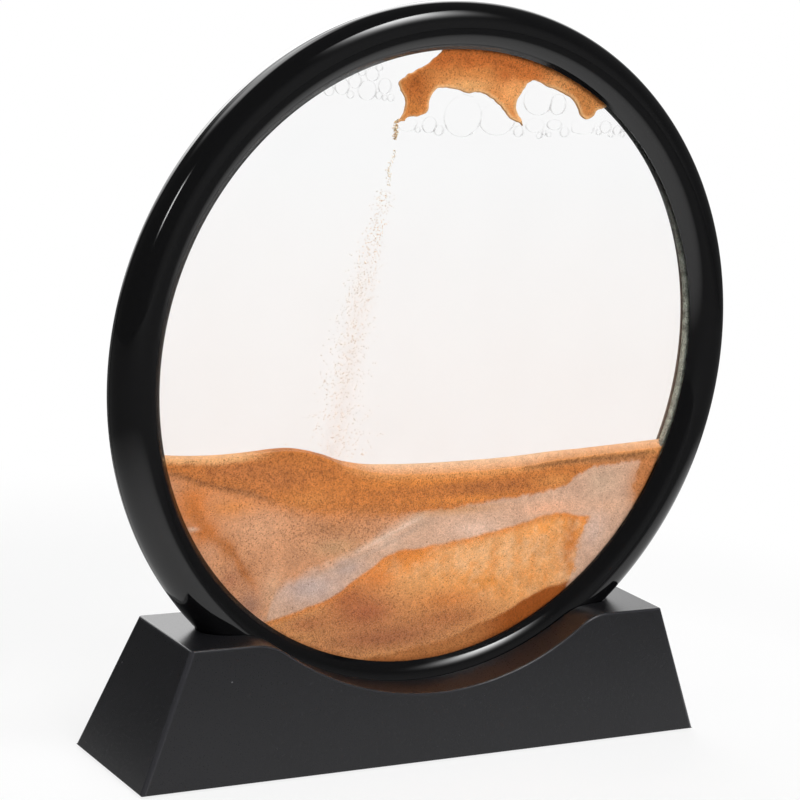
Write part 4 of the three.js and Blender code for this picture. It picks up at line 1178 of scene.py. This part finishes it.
off = add_node(tree, "ShaderNodeMath", {0: aside.outputs[0]}, operation="ABSOLUTE")
near = add_node(tree, "ShaderNodeMapRange", {"Value": off.outputs[0], "From Min": TRAIL_REACH,
                                             "From Max": 0.0}, interpolation_type="SMOOTHSTEP")
below = add_node(tree, "ShaderNodeMapRange", {"Value": part.outputs["Z"], "From Min": TRAIL_TOP,
                                              "From Max": TRAIL_FULL, "To Max": TRAIL_SHARE})
trail = add_node(tree, "ShaderNodeMath", {0: near.outputs[0], 1: below.outputs[0]}, operation="MULTIPLY")
cloudy = add_node(tree, "ShaderNodeMath", {0: trail.outputs[0], 1: puffs.outputs["Fac"]},
                  operation="MULTIPLY")
total = add_node(tree, "ShaderNodeMath", {0: veil.outputs[0], 1: cloudy.outputs[0]}, operation="ADD")
clear = add_node(tree, "ShaderNodeBsdfTransparent", {"Color": linear("#FFFFFF")})
dust = add_node(tree, "ShaderNodeBsdfPrincipled", {"Base Color": linear("#F3CBB0"), "Roughness": 0.9,
                                                   "Specular IOR Level": 0.0})
shader = add_node(tree, "ShaderNodeMixShader", {0: total.outputs[0], 1: clear.outputs[0],
                                                2: dust.outputs[0]})
add_node(tree, "ShaderNodeOutputMaterial", {"Surface": shader.outputs[0]})
dress(fill, water)
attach(fill, "sandscape")
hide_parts("water_fill")


# Studio table: the white top that the object stands on, a flat sheet of matt laminate.
# It keeps the shadow near the object and fades to plain white further off.
FLOOR_SIZE = 2.6
SHADOW_REACH, SHADOW_END = 0.1, 0.28
SHADOW_VEIL = 0.8
LIT_SPOT, LIT_REACH, LIT_END = (0.03, -0.02, 0), 0.14, 0.29
MIRROR_SPOT, MIRROR_REACH, MIRROR_END = (0.08, -0.02, 0), 0.12, 0.28
bpy.ops.object.select_all(action="DESELECT")
bpy.ops.mesh.primitive_plane_add(size=FLOOR_SIZE)
floor = bpy.context.object
floor.name = "floor"

# White laminate: a matt white that takes a soft shadow. Its colour darkens away from a spot by the
# object, a painted falloff of the lamps' light, so that it sends less light up to the object from
# further off; the gloss black pieces mirror it as plain white only close by.
table, tree, place = bare_material("laminate_white_matt")
path = add_node(tree, "ShaderNodeLightPath", {})
straight = add_node(tree, "ShaderNodeMath", {0: path.outputs["Is Camera Ray"],
                                             1: path.outputs["Is Transmission Ray"]}, operation="MAXIMUM")
distance = add_node(tree, "ShaderNodeVectorMath", {0: place}, operation="LENGTH")
far = add_node(tree, "ShaderNodeMapRange", {"Value": distance.outputs["Value"], "From Min": SHADOW_REACH,
                                            "From Max": SHADOW_END, "To Min": SHADOW_VEIL},
               interpolation_type="SMOOTHSTEP")
seen = add_node(tree, "ShaderNodeMath", {0: straight.outputs[0], 1: far.outputs[0]}, operation="MULTIPLY")
behind = add_node(tree, "ShaderNodeVectorMath", {0: place, 1: MIRROR_SPOT}, operation="DISTANCE")
backing = add_node(tree, "ShaderNodeMapRange", {"Value": behind.outputs["Value"], "From Min": MIRROR_END,
                                                "From Max": MIRROR_REACH})
mirrored = add_node(tree, "ShaderNodeMath", {0: path.outputs["Is Glossy Ray"], 1: backing.outputs[0]},
                    operation="MULTIPLY")
plain = add_node(tree, "ShaderNodeMath", {0: seen.outputs[0], 1: mirrored.outputs[0]}, operation="MAXIMUM")
# Painted falloff of light: the matt colour greys outwards from the lit spot.
lit = add_node(tree, "ShaderNodeVectorMath", {0: place, 1: LIT_SPOT}, operation="DISTANCE")
painted_falloff = add_node(tree, "ShaderNodeMapRange", {"Value": lit.outputs["Value"], "From Min": LIT_REACH,
                                            "From Max": LIT_END})
tone = add_node(tree, "ShaderNodeMix", {0: painted_falloff.outputs[0], 6: linear("#EDEDED"), 7: linear("#6A6A6A")},
                data_type="RGBA")
matt = add_node(tree, "ShaderNodeBsdfDiffuse", {"Color": tone.outputs[2]})
white = add_node(tree, "ShaderNodeEmission", {"Color": linear("#FFFFFF"), "Strength": 1.0})
shader = add_node(tree, "ShaderNodeMixShader", {0: plain.outputs[0], 1: matt.outputs[0],
                                                2: white.outputs[0]})
add_node(tree, "ShaderNodeOutputMaterial", {"Surface": shader.outputs[0]})
dress(floor, table)


# Studio room: the dim walls round the table, with a white backdrop behind the object for the camera and
# for what the gloss mirrors, and a paler patch of wall in front.
ROOM_LEVEL, GLOW_LEVEL = 0.09, 0.25
BACKDROP, BACKDROP_EDGE, BACKDROP_FULL = (0.34, 0.92, 0.2), 0.82, 0.94
GLOW, GLOW_EDGE, GLOW_FULL = (0.35, -0.93, 0.1), 0.8, 0.97
world = bpy.data.worlds.new("studio")
bpy.context.scene.world = world
world.use_nodes = True
tree = world.node_tree
tree.nodes.clear()
path = add_node(tree, "ShaderNodeLightPath", {})
straight = add_node(tree, "ShaderNodeMath", {0: path.outputs["Is Camera Ray"],
                                             1: path.outputs["Is Transmission Ray"]}, operation="MAXIMUM")
heading = add_node(tree, "ShaderNodeTexCoord", {}).outputs["Generated"]
facing = add_node(tree, "ShaderNodeVectorMath", {0: heading, 1: BACKDROP}, operation="DOT_PRODUCT")
backing = add_node(tree, "ShaderNodeMapRange", {"Value": facing.outputs["Value"], "From Min": BACKDROP_EDGE,
                                                "From Max": BACKDROP_FULL})
mirrored = add_node(tree, "ShaderNodeMath", {0: path.outputs["Is Glossy Ray"], 1: backing.outputs[0]},
                    operation="MULTIPLY")
plain = add_node(tree, "ShaderNodeMath", {0: straight.outputs[0], 1: mirrored.outputs[0]},
                 operation="MAXIMUM")
glow = add_node(tree, "ShaderNodeVectorMath", {0: heading, 1: GLOW}, operation="DOT_PRODUCT")
level = add_node(tree, "ShaderNodeMapRange", {
    "Value": glow.outputs["Value"], "From Min": GLOW_EDGE, "From Max": GLOW_FULL, "To Min": ROOM_LEVEL,
    "To Max": GLOW_LEVEL})
room = add_node(tree, "ShaderNodeBackground", {"Color": linear("#FFFFFF"), "Strength": level.outputs[0]})
white = add_node(tree, "ShaderNodeBackground", {"Color": linear("#FFFFFF"), "Strength": 1.0})
shader = add_node(tree, "ShaderNodeMixShader", {0: plain.outputs[0], 1: room.outputs[0],
                                                2: white.outputs[0]})
add_node(tree, "ShaderNodeOutputWorld", {"Surface": shader.outputs[0]})


# Studio lamps: softboxes of white cloth, as the gloss of the ring shows them, each fading at its edges.
# Cycles spreads a lamp's watts over four times its area. The two fills are kept out of the gloss.
WATTS_PER_RADIANCE = 4
FADE_POWER = 2.5
LAMPS = [
    ("key_softbox", 151, 47, 1.2, 1.1, 0.84, 14, 0.48, 0.95, 0.05),
    ("back_panel", 14, 30, 1.4, 2.4, 1.5, 2.4, 0.35, 0.3, 0.3),
    ("back_core", -25, 50, 1.3, 1.7, 0.8, 2.8, 0.4, 0.5, 0.25),
    ("side_strip", -112, 29, 1.2, 0.12, 0.5, 14, 0.3, 0.4, 0.4),
    ("front_fill", 185, 22, 1.5, 1.8, 1.3, 4.8, 0.3, 0.3, 0.3),
    ("left_fill", -75, 14, 1.5, 1.2, 1.0, 2.0, 0.3, 0.3, 0.3)]
FILLS = ("front_fill", "left_fill")


def softbox(name, azimuth, elevation, distance, width, height, radiance, side_fade, low_fade, top_fade):
    """A rectangular lamp that faces the ring and fades at its edges, by shares of its width and height.
    Its azimuth runs from +Y towards +X."""
    turn, rise = math.radians(azimuth), math.radians(elevation)
    towards = Vector((math.sin(turn) * math.cos(rise), math.cos(turn) * math.cos(rise), math.sin(rise)))
    light = bpy.data.lights.new(name, "AREA")
    light.shape = "RECTANGLE"
    light.size = width
    light.size_y = height
    light.energy = WATTS_PER_RADIANCE * width * height * radiance
    light.use_nodes = True
    tree = light.node_tree
    tree.nodes.clear()
    across = add_node(tree, "ShaderNodeNewGeometry", {})
    part = add_node(tree, "ShaderNodeSeparateXYZ", {0: across.outputs["Parametric"]})
    from_side = add_node(tree, "ShaderNodeMath", {0: part.outputs["X"], 1: 0.5}, operation="PINGPONG")
    level = None
    for value, start, end in ((from_side.outputs[0], 0, side_fade), (part.outputs["Y"], 0, low_fade),
                              (part.outputs["Y"], 1, 1 - top_fade)):
        fade = add_node(tree, "ShaderNodeMapRange", {"Value": value, "From Min": start, "From Max": end},
                        interpolation_type="SMOOTHSTEP")
        softer = add_node(tree, "ShaderNodeMath", {0: fade.outputs[0], 1: FADE_POWER}, operation="POWER")
        level = softer.outputs[0] if level is None else add_node(
            tree, "ShaderNodeMath", {0: level, 1: softer.outputs[0]}, operation="MULTIPLY").outputs[0]
    glow = add_node(tree, "ShaderNodeEmission", {"Color": linear("#FFFFFF"), "Strength": level})
    add_node(tree, "ShaderNodeOutputLight", {"Surface": glow.outputs[0]})
    lamp = bpy.data.objects.new(name, light)
    lamp.location = ring_centre + towards * distance
    lamp.rotation_euler = (-towards).to_track_quat("-Z", "Y").to_euler()
    lamp.visible_camera = False
    lamp.visible_glossy = name not in FILLS
    bpy.context.collection.objects.link(lamp)


for lamp in LAMPS:
    softbox(*lamp)


# Camera: where the photograph was taken from, as its outline of the ring and the base's corners give it.
# A long lens on a full-frame sensor, turned a little about its own axis.
CAMERA_PLACE = Vector((-341.02, -514.60, 220.60)) * MM
CAMERA_YAW, CAMERA_PITCH, CAMERA_ROLL = (math.radians(turn) for turn in (32.795, -12.016, 5.627))
CAMERA_LENS, CAMERA_SENSOR = 112.59, 36
forward = Vector((math.sin(CAMERA_YAW) * math.cos(CAMERA_PITCH),
                  math.cos(CAMERA_YAW) * math.cos(CAMERA_PITCH), math.sin(CAMERA_PITCH)))
level_right = Vector((math.cos(CAMERA_YAW), -math.sin(CAMERA_YAW), 0))
level_up = level_right.cross(forward)
right = level_right * math.cos(CAMERA_ROLL) + level_up * math.sin(CAMERA_ROLL)
up = level_up * math.cos(CAMERA_ROLL) - level_right * math.sin(CAMERA_ROLL)
eye = bpy.data.cameras.new("camera")
eye.sensor_width = CAMERA_SENSOR
eye.lens = CAMERA_LENS
camera = bpy.data.objects.new("camera", eye)
camera.matrix_world = Matrix.Translation(CAMERA_PLACE) @ Matrix((right, up, -forward)).transposed().to_4x4()
bpy.context.collection.objects.link(camera)
bpy.context.scene.camera = camera
bpy.context.scene.view_settings.view_transform = "Standard"
